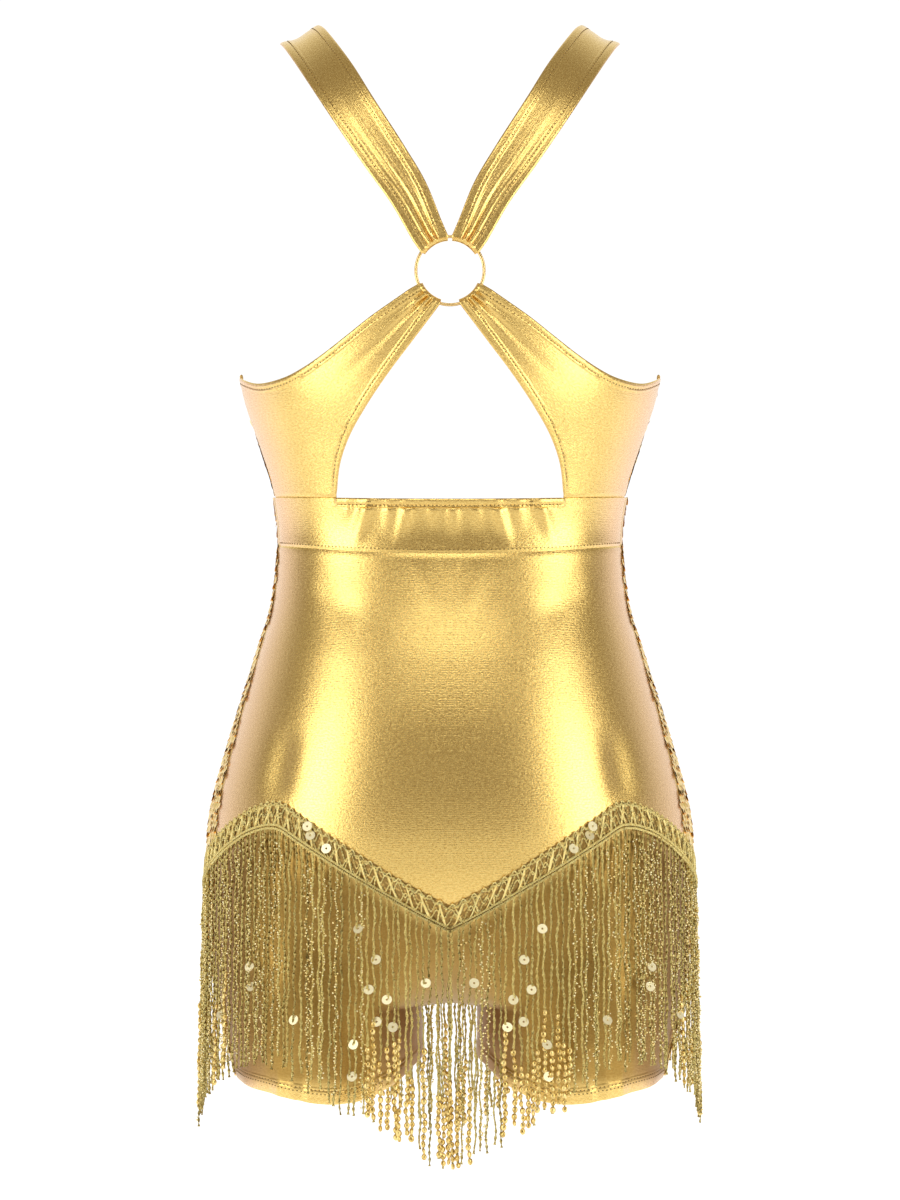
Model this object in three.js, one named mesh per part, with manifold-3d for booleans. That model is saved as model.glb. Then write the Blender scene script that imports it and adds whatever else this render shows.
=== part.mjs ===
// Sequin leotard with short legs, in the hollow form it has when it is worn.
// The back is gold foil knit with a cut-out, crossed by straps and wings that meet at a ring.
// The front is sequin cloth.
// Millimetres, +Z up, +Y towards the wearer's front, +X towards the right of the back view.
// The origin is midway between the tops of the two shoulder straps, where the garment is held.

import * as THREE from 'three';
import Module from 'manifold-3d';
import { mergeVertices } from 'three/addons/utils/BufferGeometryUtils.js';

const wasm = await Module();
wasm.setup();

// Cloth walls, seams and hems
const KNIT_WALL = 1.2;
const SEQUIN_WALL = 2.2;
const STRAP_WALL = 1.6;
const SEAM_GAP = 0.3;
const HEM_RISE = 0.5;
const HEM_STEP = 0.4;
const ARMHOLE_HEM = 5;
const KEYHOLE_HEM = 6.5;
const STRAP_HEM = 6;
const LEG_HEM = 10;

// Levels of the garment, and the distance from which its back is looked at
const WAIST_TOP = -317;
const WAIST_BOTTOM = -353;
const SEAT_TURNS_UNDER = -560;
const CROTCH = -657;
const LEG_GAP_STARTS = -610;
const HALF_LEG_GAP = 19;
const SIGHT_DISTANCE = 3200;
const SIGHT_LEVEL = -384;

// Rings
const WIRE = 1.1;
const RING_RADIUS = 22.5;
const RING_LEVEL = -166.7;
const BACK_RING_DEPTH = -94.6;
const FRONT_RING_DEPTH = 100;
const LOOP_CLEARANCE = 0.55;
const LOOP_WALL = 1.2;

// Braid and fringe
const BRAID_HEIGHT = 18;
const BRAID_SEAT = 0.55;
const BRAID_CORD = 2.6;
const BRAID_LACE = 1.2;
const CORD_HEIGHT = 2.4;
const STRAND_RADIUS = 0.8;
const STRAND_LENGTH = 154;
const STRAND_SPACING = 3.9;
const STRAND_LEAN = 3.2;
const ROOT_DEPTH = 1;

// The general figure the cloth is cut for: half its width, and the depths of its back, its front and each leg
const SQUARENESS = 0.94;
const FIGURE = [
  { z: -120, half: 140, back: 93, front: 92, legBack: 100, legFront: 78 },
  { z: -165, half: 142, back: 98, front: 101, legBack: 100, legFront: 78 },
  { z: -205, half: 143, back: 96, front: 106, legBack: 100, legFront: 78 },
  { z: -241, half: 141, back: 92, front: 104, legBack: 100, legFront: 78 },
  { z: -282, half: 128.8, back: 82, front: 97, legBack: 100, legFront: 78 },
  { z: -314, half: 120, back: 75, front: 90, legBack: 100, legFront: 78 },
  { z: -343, half: 116.4, back: 72, front: 88, legBack: 100, legFront: 78 },
  { z: -384, half: 119.8, back: 82, front: 92, legBack: 100, legFront: 78 },
  { z: -425, half: 132, back: 97, front: 98, legBack: 100, legFront: 78 },
  { z: -466, half: 145, back: 109, front: 101, legBack: 100, legFront: 82 },
  { z: -507, half: 157, back: 116, front: 102, legBack: 100, legFront: 84 },
  { z: -532, half: 162.5, back: 118, front: 101, legBack: 100, legFront: 84 },
  { z: -550, half: 164, back: 117.5, front: 100, legBack: 99, legFront: 83 },
  { z: -580, half: 164.5, back: 114, front: 97, legBack: 96, legFront: 80 },
  { z: -620, half: 162, back: 106, front: 93, legBack: 91, legFront: 75.5 },
  { z: -660, half: 156, back: 97, front: 90, legBack: 86, legFront: 72.5 },
  { z: -700, half: 146, back: 88, front: 86, legBack: 81, legFront: 70 },
  { z: -730, half: 138, back: 82, front: 83, legBack: 77, legFront: 68 },
];

// Where the side seam runs, in degrees round from the centre back
const SIDE_SEAM = [
  { z: -225, turn: 84 },
  { z: -314, turn: 79 },
  { z: -350, turn: 82 },
  { z: -430, turn: 78 },
  { z: -500, turn: 74 },
  { z: -560, turn: 72 },
  { z: -640, turn: 76 },
  { z: -730, turn: 80 },
];

// Lower edge of each leg, in degrees round the leg from its inner seam
const LEG_EDGE = [
  { turn: 0, z: -691 },
  { turn: 26, z: -697 },
  { turn: 53, z: -709.5 },
  { turn: 75, z: -717 },
  { turn: 95, z: -718 },
  { turn: 125, z: -712.5 },
  { turn: 180, z: -706 },
  { turn: 200, z: -706 },
];

// Middle of the braid, in degrees from each side's centre: a point at the centre, a peak over each thigh
const BRAID = [
  { turn: 0, z: -594 },
  { turn: 8, z: -580.5 },
  { turn: 22.5, z: -555.5 },
  { turn: 36, z: -534.8 },
  { turn: 43, z: -526.5 },
  { turn: 52, z: -530 },
  { turn: 60, z: -538.2 },
  { turn: 70, z: -550 },
  { turn: 90, z: -573 },
];

// One back wing from its side seam to the ring: its armhole edge above and its lower edge below
const WING_TOP = [
  { x: 144, z: -231.5 },
  { x: 139, z: -235.5 },
  { x: 128.5, z: -239 },
  { x: 111, z: -236 },
  { x: 98, z: -230 },
  { x: 84, z: -221 },
  { x: 68, z: -209 },
  { x: 52.5, z: -197 },
  { x: 38, z: -187 },
  { x: 27, z: -179.5 },
];
const WING_CORNER = 3;
const CORNER_X = 76;
const KEYHOLE_EDGE = [
  { x: 76, z: -316 },
  { x: 73.4, z: -293.5 },
  { x: 67, z: -275 },
  { x: 56, z: -255.6 },
  { x: 41.3, z: -234 },
  { x: 25, z: -212.6 },
  { x: 13.5, z: -197.5 },
];

// One strap from its fold at the ring to the shoulder's top: both edges, and the depths behind and in front
const STRAP = [
  { outX: 24, outZ: -147.3, inX: 5.6, inZ: -134.8, back: -96, front: 99 },
  { outX: 38.5, outZ: -122, inX: 16.5, inZ: -108, back: -93.5, front: 95 },
  { outX: 55.5, outZ: -98, inX: 30.5, inZ: -84, back: -89, front: 88 },
  { outX: 77, outZ: -66, inX: 51.5, inZ: -50.5, back: -78, front: 74 },
  { outX: 92, outZ: -42.5, inX: 64.5, inZ: -28.5, back: -63, front: 58 },
  { outX: 103.5, outZ: -24, inX: 76.5, inZ: -10.5, back: -43, front: 39 },
  { outX: 111.5, outZ: -11.5, inX: 85, inZ: 1.5, back: -21, front: 19 },
  { outX: 115, outZ: -6.5, inX: 89, inZ: 6, back: 0, front: 0 },
];
const FRONT_STRAP_WIDTH = 0.86;

// Sewn cups of the front: where each stands furthest forward, and how far it reaches
const CUP = { x: 76, z: -236, rise: 20, across: 44, above: 34, below: 42 };

const RAD = Math.PI / 180;

// Value of one column of a table at a place along another column, with a smooth slope through the rows
function valueAt(table, along, column, place) {
  const falling = table[0][along] > table[table.length - 1][along];
  const rows = falling ? [...table].reverse() : table;
  const last = rows.length - 1;
  if (place <= rows[0][along]) return rows[0][column];
  if (place >= rows[last][along]) return rows[last][column];
  let i = 0;
  while (place > rows[i + 1][along]) i += 1;
  const slope = (k) => {
    const before = rows[Math.max(k - 1, 0)];
    const after = rows[Math.min(k + 1, last)];
    return (after[column] - before[column]) / (after[along] - before[along]);
  };
  const width = rows[i + 1][along] - rows[i][along];
  const t = (place - rows[i][along]) / width;
  const start = rows[i][column] * (1 + 2 * t) * (1 - t) ** 2 + slope(i) * width * t * (1 - t) ** 2;
  const end = rows[i + 1][column] * (3 - 2 * t) * t * t - slope(i + 1) * width * t * t * (1 - t);
  return start + end;
}

const figure = (column, z) => valueAt(FIGURE, 'z', column, z);
const seamTurn = (z) => valueAt(SIDE_SEAM, 'z', 'turn', z);
const mix = (a, b, t) => a + (b - a) * t;
const smooth = (t) => {
  const s = Math.min(Math.max(t, 0), 1);
  return s * s * (3 - 2 * s);
};
const rounded = (value) => Math.sign(value) * Math.abs(value) ** SQUARENESS;

// A point of the torso: turn is in degrees round from the centre back, 180 at the centre front
function torsoPoint(turn, z) {
  const across = rounded(Math.sin(turn * RAD));
  const along = rounded(Math.cos(turn * RAD));
  const depth = figure(along > 0 ? 'back' : 'front', z);
  return new THREE.Vector3(figure('half', z) * across, -depth * along, z);
}

// Turn round the torso at which it is x wide
function turnAt(x, z) {
  const across = Math.min(Math.abs(x) / figure('half', z), 1);
  return (Math.asin(across ** (1 / SQUARENESS)) / RAD) * Math.sign(x);
}

const legGap = (z) => HALF_LEG_GAP * smooth((LEG_GAP_STARTS - z) / (LEG_GAP_STARTS - CROTCH));

// A point of the right leg: turn is in degrees round from its inner seam, facing is -1 behind and 1 in front
function legPoint(turn, z, facing) {
  const gap = legGap(z);
  const middle = (figure('half', z) + gap) / 2;
  const reach = (figure('half', z) - gap) / 2;
  const along = rounded(Math.sin(turn * RAD)) * facing;
  const depth = figure(along > 0 ? 'legFront' : 'legBack', z);
  return new THREE.Vector3(middle - reach * rounded(Math.cos(turn * RAD)), depth * along, z);
}

// Share of the leg in the section, from none at the seat to all at the crotch: round at the gusset
function legShare(z, across) {
  const down = Math.min(Math.max((SEAT_TURNS_UNDER - z) / (SEAT_TURNS_UNDER - CROTCH), 0), 1);
  const atGusset = 1 - Math.sqrt(1 - down * down);
  return mix(atGusset, smooth(down), smooth(across / (5 * GUSSET)));
}

const waistTop = (turn) => WAIST_TOP + 2.4 * Math.sin(turn * RAD) ** 2;
const waistBottom = (turn) => WAIST_BOTTOM + 5.7 * Math.sin(turn * RAD) ** 2;

// A sheet is a net of points on the middle of the cloth, with its triangles
function netOf(columns, rows, place, mirrored = false) {
  const points = [];
  const faces = [];
  for (const row of rows) {
    for (const column of columns) points.push(place(column, row));
  }
  const wide = columns.length;
  for (let j = 0; j < rows.length - 1; j += 1) {
    for (let i = 0; i < wide - 1; i += 1) {
      const a = j * wide + i;
      faces.push([a, a + 1, a + wide + 1], [a, a + wide + 1, a + wide]);
    }
  }
  if (mirrored) {
    for (const face of faces) face.reverse();
  }
  return { points, faces };
}

// Both halves of a sheet that is mirrored across the centre, joined where they share the centre line
function withMirror(half) {
  const points = half.points.map((p) => p.clone());
  const twin = half.points.map((p, i) => {
    if (Math.abs(p.x) < 1e-6) return i;
    points.push(Object.assign(p.clone(), { x: -p.x, lift: p.lift }));
    return points.length - 1;
  });
  half.points.forEach((p, i) => { points[i].lift = p.lift; });
  const faces = [...half.faces, ...half.faces.map(([a, b, c]) => [twin[c], twin[b], twin[a]])];
  return { points, faces };
}

// Directions out of the sheet at its points
function outwardOf(sheet) {
  const normals = sheet.points.map(() => new THREE.Vector3());
  for (const [a, b, c] of sheet.faces) {
    const [pa, pb, pc] = [sheet.points[a], sheet.points[b], sheet.points[c]];
    const across = new THREE.Vector3().subVectors(pb, pa).cross(new THREE.Vector3().subVectors(pc, pa));
    for (const corner of [a, b, c]) normals[corner].add(across);
  }
  return normals.map((n) => n.normalize());
}

// The closed wall between two surfaces that lie along the sheet: outer and inner are distances out of it
function wallOf(sheet, outer, inner) {
  const normals = outwardOf(sheet);
  const count = sheet.points.length;
  const positions = [];
  for (const side of [outer, inner]) {
    sheet.points.forEach((p, i) => {
      const lift = side === outer ? outer + (p.lift ?? 0) : inner;
      positions.push(...p.clone().addScaledVector(normals[i], lift).toArray());
    });
  }
  const faces = [];
  const edges = new Map();
  for (const [a, b, c] of sheet.faces) {
    faces.push(a, b, c, c + count, b + count, a + count);
    for (const [from, to] of [[a, b], [b, c], [c, a]]) edges.set(`${from} ${to}`, [from, to]);
  }
  for (const [from, to] of edges.values()) {
    if (!edges.has(`${to} ${from}`)) faces.push(to, from, from + count, to, from + count, to + count);
  }
  const geometry = new THREE.BufferGeometry();
  geometry.setAttribute('position', new THREE.Float32BufferAttribute(positions, 3));
  geometry.setIndex(faces);
  return geometry;
}

function solidOf(geometry) {
  const bare = geometry.clone();
  bare.deleteAttribute('normal');
  bare.deleteAttribute('uv');
  const merged = mergeVertices(bare, 1e-4);
  const vertProperties = new Float32Array(merged.attributes.position.array);
  const triVerts = new Uint32Array(merged.index.array);
  return new wasm.Manifold(new wasm.Mesh({ numProp: 3, vertProperties, triVerts }));
}

function geometryOf(solid) {
  const mesh = solid.getMesh();
  const geometry = new THREE.BufferGeometry();
  geometry.setAttribute('position', new THREE.BufferAttribute(mesh.vertProperties, 3));
  geometry.setIndex(new THREE.BufferAttribute(mesh.triVerts, 1));
  return geometry;
}

const garment = new THREE.Group();

const FOIL_KNIT = { color: 0xd2ab5a, roughness: 0.38, metalness: 0.75 };
const SEQUIN_CLOTH = { color: 0xc79f4c, roughness: 0.3, metalness: 0.85 };
const GOLD_WIRE = { color: 0xd9b36a, roughness: 0.25, metalness: 1 };
const FRINGE = { color: 0xc9a351, roughness: 0.45, metalness: 0.6 };

function add(name, geometry, look) {
  geometry.computeVertexNormals();
  const mesh = new THREE.Mesh(geometry, new THREE.MeshStandardMaterial(look));
  mesh.name = name;
  garment.add(mesh);
}

// Evenly spaced values from one to another
const spaced = (from, to, steps) => Array.from({ length: steps + 1 }, (_, i) => mix(from, to, i / steps));

// Width of the flat gusset between the legs, as a share of a panel's half width
const GUSSET = 0.12;

// Front and back panels: each covers half of the torso and of both legs, from the waistband to the leg hems
const PANEL_COLUMNS = [0, 0.05, 0.12, 0.22, 0.33, 0.44, 0.55, 0.66, 0.78, 0.89, 1];
const TORSO_LEVELS = [0, 0.1, 0.2, 0.3, 0.4, 0.5, 0.59, 0.67, 0.74, 0.81, 0.88, 0.94, 0.98, 1];
const JUST_BELOW_CROTCH = 1.0001;
const LEG_HALFWAY = 1.35;
const LEG_TOP = CROTCH - 5;
const LEG_LENGTH = 45;
const HEM_FOLD = 0.02;
const SEAM_TURN_GAP = 0.14;
const CROTCH_SEAM_GAP = 0.3;

// Degrees of turn from the centre of one side of the torso to its side seam
const sideLimit = (z, facing) => (facing < 0 ? seamTurn(z) : 180 - seamTurn(z)) - SEAM_TURN_GAP;

// A point of a panel's right half: across is 0 at its centre line or inner leg seam and 1 at its side seam
function clothPoint(across, z, facing) {
  const limit = sideLimit(z, facing);
  const torsoTurn = across * limit;
  const torso = torsoPoint(facing < 0 ? torsoTurn : 180 - torsoTurn, z);
  const share = legShare(z, across);
  const point = torso.lerp(legPoint(across * (90 + limit), z, facing), share);
  if (z >= CROTCH) point.x -= share * legGap(z) * Math.max(0, 1 - across / GUSSET);
  if (across === 0) {
    point.y = facing * Math.max(Math.abs(point.y), CROTCH_SEAM_GAP);
    if (z >= CROTCH) point.x = 0;
  }
  return point;
}

// A point of a panel's net: down is 0 at the waistband, 1 at the crotch and 2 at the leg's lower edge
function panelPoint(across, down, facing) {
  const topTurn = across * seamTurn(WAIST_BOTTOM);
  if (down <= 1) return clothPoint(across, mix(waistBottom(topTurn) - SEAM_GAP, CROTCH, down), facing);
  const edge = valueAt(LEG_EDGE, 'turn', 'z', across * (90 + sideLimit(LEG_EDGE[0].z, facing)));
  const z = mix(LEG_TOP, edge, down - 1);
  const point = clothPoint(across, z, facing);
  point.lift = z - edge < LEG_HEM ? HEM_RISE : 0;
  return point;
}

function addPanel(name, facing, wall, look) {
  const hemRow = 2 - LEG_HEM / LEG_LENGTH;
  const rows = [...TORSO_LEVELS, JUST_BELOW_CROTCH, LEG_HALFWAY, hemRow - HEM_FOLD, hemRow + HEM_FOLD, 2];
  const half = netOf(PANEL_COLUMNS, rows, (u, v) => panelPoint(u, v, facing), facing < 0);
  const sheet = withMirror(half);
  add(name, wallOf(sheet, wall / 2, -wall / 2), look);
}

addPanel('back_panel', -1, KNIT_WALL, FOIL_KNIT);
addPanel('front_panel', 1, SEQUIN_WALL, SEQUIN_CLOTH);

// Waistband: a gathered casing behind, plain in front. A gather has a place, depth, width, lean and reach
const GATHERS = [
  { x: -68, depth: 1.0, width: 4.5, lean: -0.10, reach: 0.55 },
  { x: -54, depth: 1.5, width: 5.0, lean: -0.22, reach: 0.90 },
  { x: -40, depth: 1.1, width: 4.0, lean: -0.08, reach: 0.60 },
  { x: -27, depth: 1.6, width: 5.5, lean: -0.18, reach: 0.80 },
  { x: -12, depth: 1.2, width: 4.5, lean: 0.05, reach: 0.50 },
  { x: 2, depth: 1.5, width: 5.0, lean: 0.02, reach: 0.85 },
  { x: 16, depth: 1.1, width: 4.5, lean: 0.14, reach: 0.60 },
  { x: 30, depth: 1.6, width: 5.0, lean: 0.20, reach: 0.90 },
  { x: 45, depth: 1.2, width: 4.5, lean: 0.10, reach: 0.55 },
  { x: 60, depth: 1.4, width: 5.0, lean: 0.24, reach: 0.75 },
];
const CASING_HALF = 76;
const CASING_HEIGHT = 5;
const CASING_RISE = 0.6;

function gatherDepth(x, down) {
  const height = WAIST_TOP - WAIST_BOTTOM;
  let depth = 0;
  for (const gather of GATHERS) {
    const away = (x - gather.x - gather.lean * down * height) / gather.width;
    depth += gather.depth * Math.exp(-away * away) * (1 - smooth(down / gather.reach));
  }
  return depth;
}

function addWaistband(name, facing, columns, rows, wall, look) {
  const place = (turn, down) => {
    const z = mix(waistTop(turn), waistBottom(turn), down);
    const point = torsoPoint(turn, z);
    if (facing < 0) point.y -= gatherDepth(point.x, down);
    const fromTop = down * (WAIST_TOP - WAIST_BOTTOM);
    const inCasing = facing < 0 && Math.abs(point.x) < CASING_HALF && fromTop <= CASING_HEIGHT;
    point.lift = inCasing ? CASING_RISE : 0;
    return point;
  };
  add(name, wallOf(netOf(columns, rows, place, true), wall / 2, -wall / 2), look);
}

const bandSeam = seamTurn((WAIST_TOP + WAIST_BOTTOM) / 2);
const casingTurn = turnAt(CASING_HALF, WAIST_TOP);
const backColumns = [
  ...spaced(SEAM_TURN_GAP - bandSeam, -casingTurn - 1, 4),
  ...spaced(-casingTurn, casingTurn, 36),
  ...spaced(casingTurn + 1, bandSeam - SEAM_TURN_GAP, 4),
];
const casingShare = CASING_HEIGHT / (WAIST_TOP - WAIST_BOTTOM);
const CASING_FOLD = 0.005;
const backRows = [0, casingShare - CASING_FOLD, casingShare + CASING_FOLD, 0.45, 0.72, 1];
const frontColumns = spaced(bandSeam + SEAM_TURN_GAP, 360 - bandSeam - SEAM_TURN_GAP, 24);
addWaistband('waistband_back', -1, backColumns, backRows, KNIT_WALL, FOIL_KNIT);
addWaistband('waistband_front', 1, frontColumns, spaced(0, 1, 2), SEQUIN_WALL, SEQUIN_CLOTH);

// A hemmed piece has these rows across it: on a hem, at its fold line, or a share of the cloth between hems
const HEMMED_ROWS = [
  { hem: 'top', over: 0 }, { hem: 'top', over: 1 }, { hem: 'top', over: 1, step: 1 },
  { share: 0.33 }, { share: 0.67 },
  { hem: 'low', over: 1, step: 1 }, { hem: 'low', over: 1 }, { hem: 'low', over: 0 },
];

function shareAcross(row, length, topHem, lowHem) {
  const top = (over, step = 0) => (over * topHem + step * HEM_STEP) / length;
  const low = (over, step = 0) => 1 - (over * lowHem + step * HEM_STEP) / length;
  if (row.hem === 'top') return top(row.over, row.step);
  if (row.hem === 'low') return low(row.over, row.step);
  return mix(top(1, 1), low(1, 1), row.share);
}

// How much further out a line of sight lies at the front than where it crosses the back
const spread = (backDepth, frontDepth) => (SIGHT_DISTANCE + frontDepth) / (SIGHT_DISTANCE + backDepth);
const raisedTo = (z, scale) => SIGHT_LEVEL + (z - SIGHT_LEVEL) * scale;

const RING_SPREAD = spread(BACK_RING_DEPTH, FRONT_RING_DEPTH);
const RINGS = {
  back: { radius: RING_RADIUS, depth: BACK_RING_DEPTH, level: RING_LEVEL, facing: -1 },
  front: {
    radius: RING_RADIUS * RING_SPREAD,
    depth: FRONT_RING_DEPTH,
    level: raisedTo(RING_LEVEL, RING_SPREAD),
    facing: 1,
  },
};

// A point round a ring, in degrees up from the +X side
function ringPoint(ring, degrees, outBy = 0) {
  const x = ring.radius * Math.cos(degrees * RAD);
  const z = ring.level + ring.radius * Math.sin(degrees * RAD);
  return new THREE.Vector3(x, ring.depth + ring.facing * outBy, z);
}

class RingArc extends THREE.Curve {
  constructor(ring, from, to) {
    super();
    Object.assign(this, { ring, from, to });
  }

  getPoint(t, target = new THREE.Vector3()) {
    return target.copy(ringPoint(this.ring, mix(this.from, this.to, t)));
  }
}

const SLEEVE_SIDES = 6;
const SLEEVE_STEPS = 5;
const TUNNEL = WIRE + LOOP_CLEARANCE;
const TUNNEL_MARGIN = 8;

function roundShape(radius) {
  const turns = spaced(0, 360, SLEEVE_SIDES).slice(0, -1);
  const corner = (turn) => new THREE.Vector2(radius * Math.cos(turn * RAD), radius * Math.sin(turn * RAD));
  return new THREE.Shape(turns.map(corner));
}

// Cloth turned round the ring: the sheet's end and the sleeve of its fold, with the wire's way left open
function foldedRound(wall, ring, from, to) {
  const sleeve = new THREE.ExtrudeGeometry(roundShape(TUNNEL + LOOP_WALL), {
    steps: SLEEVE_STEPS,
    extrudePath: new RingArc(ring, from, to),
    bevelEnabled: false,
  });
  const tunnel = new THREE.ExtrudeGeometry(roundShape(TUNNEL), {
    steps: SLEEVE_STEPS + 2,
    extrudePath: new RingArc(ring, from - TUNNEL_MARGIN, to + TUNNEL_MARGIN),
    bevelEnabled: false,
  });
  return geometryOf(solidOf(wall).add(solidOf(sleeve)).subtract(solidOf(tunnel)));
}

const FOLD_OVER_WIRE = TUNNEL + LOOP_WALL / 2;
const WING_ANGLES = { top: -24, low: -73 };
const STRAP_ANGLES = { out: 33, in: 86 };

// Cloth of the wings and cups on the figure, from its place in the view of its side
function bodicePoint(turn, z, facing) {
  const point = torsoPoint(facing < 0 ? turn : 180 - turn, z);
  if (facing > 0) {
    const across = (point.x - CUP.x) / CUP.across;
    const up = (z - CUP.z) / (z > CUP.z ? CUP.above : CUP.below);
    point.y += CUP.rise * Math.exp(-across * across - up * up);
  }
  return point;
}

const curveOf = (rows) => new THREE.CatmullRomCurve3(rows.map((row) => new THREE.Vector3(row.x, 0, row.z)));
const wingTopCurve = curveOf(WING_TOP);
const keyholeCurve = curveOf(KEYHOLE_EDGE);
const WING_END = WING_TOP.length;
const FRONT_MARGIN = 2;
const WAIST_SEAM_TILT = 0.22;
const WING_FOLD_DEPTH = 0.9;
const STRAP_FOLD_DEPTH = 0.8;
const STRAP_FOLD_REACH = 2.5;

// Folds across a gathered piece, two to its width
const foldWave = (across) => Math.cos(across * 4 * Math.PI);

function wingEdges(u) {
  const top = wingTopCurve.getPoint(Math.min(u / (WING_END - 1), 1));
  if (u > WING_CORNER) {
    const low = keyholeCurve.getPoint(Math.min((u - WING_CORNER) / (WING_END - 1 - WING_CORNER), 1));
    return { top, low };
  }
  const turn = mix(seamTurn(WAIST_TOP), turnAt(CORNER_X, WAIST_TOP), u / WING_CORNER);
  return { top, low: torsoPoint(turn, waistTop(turn)) };
}

// Moves an edge point of the back to the front, so that the front keeps behind the back when it is looked at
function edgeInFront(edge, inward) {
  const turn = turnAt(edge.x, edge.z);
  const back = torsoPoint(turn, edge.z).y;
  const front = torsoPoint(180 - turn, edge.z).y;
  const scale = spread(back, front);
  const share = Math.min(1, (90 - Math.abs(turn)) / 20);
  return { x: edge.x * scale + inward.x * share, z: raisedTo(edge.z, scale) + inward.z * share };
}

// Edges of a cup of the front, a little inside the lines of sight past the wing's edges
function cupEdges(u) {
  const { top, low } = wingEdges(u);
  const above = edgeInFront(top, { x: 0, z: -FRONT_MARGIN });
  if (u > WING_CORNER) return { top: above, low: edgeInFront(low, { x: FRONT_MARGIN, z: 0 }) };
  return { top: above, low: { x: low.x + FRONT_MARGIN * u / WING_CORNER, z: low.z } };
}

// A point of a back wing or front cup: u counts stations from the side seam to the ring
function wingPoint(u, row, facing) {
  const ring = facing < 0 ? RINGS.back : RINGS.front;
  const wall = facing < 0 ? KNIT_WALL : SEQUIN_WALL;
  const { top, low } = facing < 0 ? wingEdges(u) : cupEdges(u);
  const length = Math.hypot(top.x - low.x, top.z - low.z);
  const across = shareAcross(row, length, ARMHOLE_HEM, KEYHOLE_HEM);
  const z = mix(top.z, low.z, across);
  let turn = mix(turnAt(top.x, top.z), turnAt(low.x, low.z), across);
  if (u === 0) turn = (facing < 0 ? seamTurn(z) : 180 - seamTurn(z)) - SEAM_TURN_GAP;
  const point = bodicePoint(turn, z, facing);
  if (u <= WING_CORNER) point.z += across ** 4 * (SEAM_GAP + WAIST_SEAM_TILT * wall);
  const nearRing = Math.max(0, (u - WING_CORNER) / (WING_END - WING_CORNER));
  point.y += facing * WING_FOLD_DEPTH * nearRing ** 3 * foldWave(across);
  if (u > WING_END - 1) {
    const end = ringPoint(ring, mix(WING_ANGLES.top, WING_ANGLES.low, across), FOLD_OVER_WIRE);
    point.lerp(end, u - WING_END + 1);
  }
  const onHem = row.hem === 'top' || (row.hem === 'low' && u > WING_CORNER);
  const folded = u > WING_END - 1;
  point.lift = (onHem && !row.step) || folded ? HEM_RISE : 0;
  return point;
}

// Adds one side's hemmed piece, with its cloth turned round the rings that it is sewn to
function addHemmed(name, net, side, wall, look, folds) {
  const points = net.points.map((p) => Object.assign(p.clone(), { x: side * p.x, lift: p.lift }));
  const sheet = { points, faces: side > 0 ? net.faces : net.faces.map(([a, b, c]) => [c, b, a]) };
  let geometry = wallOf(sheet, wall / 2, -wall / 2);
  for (const { ring, from, to } of folds) {
    const [start, end] = side > 0 ? [from, to] : [180 - to, 180 - from];
    geometry = foldedRound(geometry, ring, start, end);
  }
  add(name, geometry, look);
}

const WING_COLUMNS = [0, 1, 2, 3, 3.5, 4, 4.5, 5, 5.5, 6, 6.5, 7, 7.5, 8, 8.5, 9, 9.06, 10];
const wingFold = { from: WING_ANGLES.low, to: WING_ANGLES.top };
for (const [side, label] of [[1, 'right'], [-1, 'left']]) {
  const backNet = netOf(WING_COLUMNS, HEMMED_ROWS, (u, row) => wingPoint(u, row, -1));
  const backFold = { ring: RINGS.back, ...wingFold };
  addHemmed(`back_wing_${label}`, backNet, side, KNIT_WALL, FOIL_KNIT, [backFold]);
  const frontNet = netOf(WING_COLUMNS, HEMMED_ROWS, (u, row) => wingPoint(u, row, 1), true);
  const frontFold = { ring: RINGS.front, ...wingFold };
  addHemmed(`front_cup_${label}`, frontNet, side, SEQUIN_WALL, SEQUIN_CLOTH, [frontFold]);
}

// Straps: from the back ring over the shoulder to the front ring, hemmed on both edges and folded round rings
const STRAP_TOP = STRAP.length - 1;

function strapEdges() {
  const out = [];
  const inner = [];
  STRAP.forEach((row) => {
    out.push(new THREE.Vector3(row.outX, row.back, row.outZ));
    inner.push(new THREE.Vector3(row.inX, row.back, row.inZ));
  });
  for (let i = STRAP_TOP - 1; i >= 0; i -= 1) {
    const row = STRAP[i];
    const scale = spread(row.back, row.front);
    const narrow = mix(1, FRONT_STRAP_WIDTH, smooth((STRAP_TOP - i) / 3)) / 2;
    const middle = { x: (row.outX + row.inX) / 2, z: (row.outZ + row.inZ) / 2 };
    const half = { x: (row.outX - row.inX) * narrow, z: (row.outZ - row.inZ) * narrow };
    const at = (sign) => new THREE.Vector3(
      (middle.x + sign * half.x) * scale, row.front, raisedTo(middle.z + sign * half.z, scale));
    out.push(at(1));
    inner.push(at(-1));
  }
  const [outCurve, innerCurve] = [out, inner].map((points) => new THREE.CatmullRomCurve3(points));
  return { out: outCurve, inner: innerCurve, last: out.length - 1 };
}

const strap = strapEdges();

// A point of a strap: u is 0 at the back ring's wire, 1 at the table's first row, and so on to the front wire
function strapPoint(u, row) {
  const along = Math.min(Math.max(u - 1, 0), strap.last) / strap.last;
  const out = strap.out.getPoint(along);
  const inner = strap.inner.getPoint(along);
  const across = shareAcross(row, out.distanceTo(inner), STRAP_HEM, STRAP_HEM);
  const point = out.clone().lerp(inner, across);
  const facing = along < 0.5 ? -1 : 1;
  const fromRing = Math.min(u, strap.last + 2 - u);
  point.y += facing * STRAP_FOLD_DEPTH * Math.exp(-fromRing / STRAP_FOLD_REACH) * foldWave(across);
  const beyond = fromRing < 1 ? 1 - fromRing : 0;
  if (beyond > 0) {
    const ring = facing < 0 ? RINGS.back : RINGS.front;
    point.lerp(ringPoint(ring, mix(STRAP_ANGLES.out, STRAP_ANGLES.in, across), FOLD_OVER_WIRE), beyond);
  }
  point.lift = (row.hem && !row.step) || beyond > 0 ? HEM_RISE : 0;
  return point;
}

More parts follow.
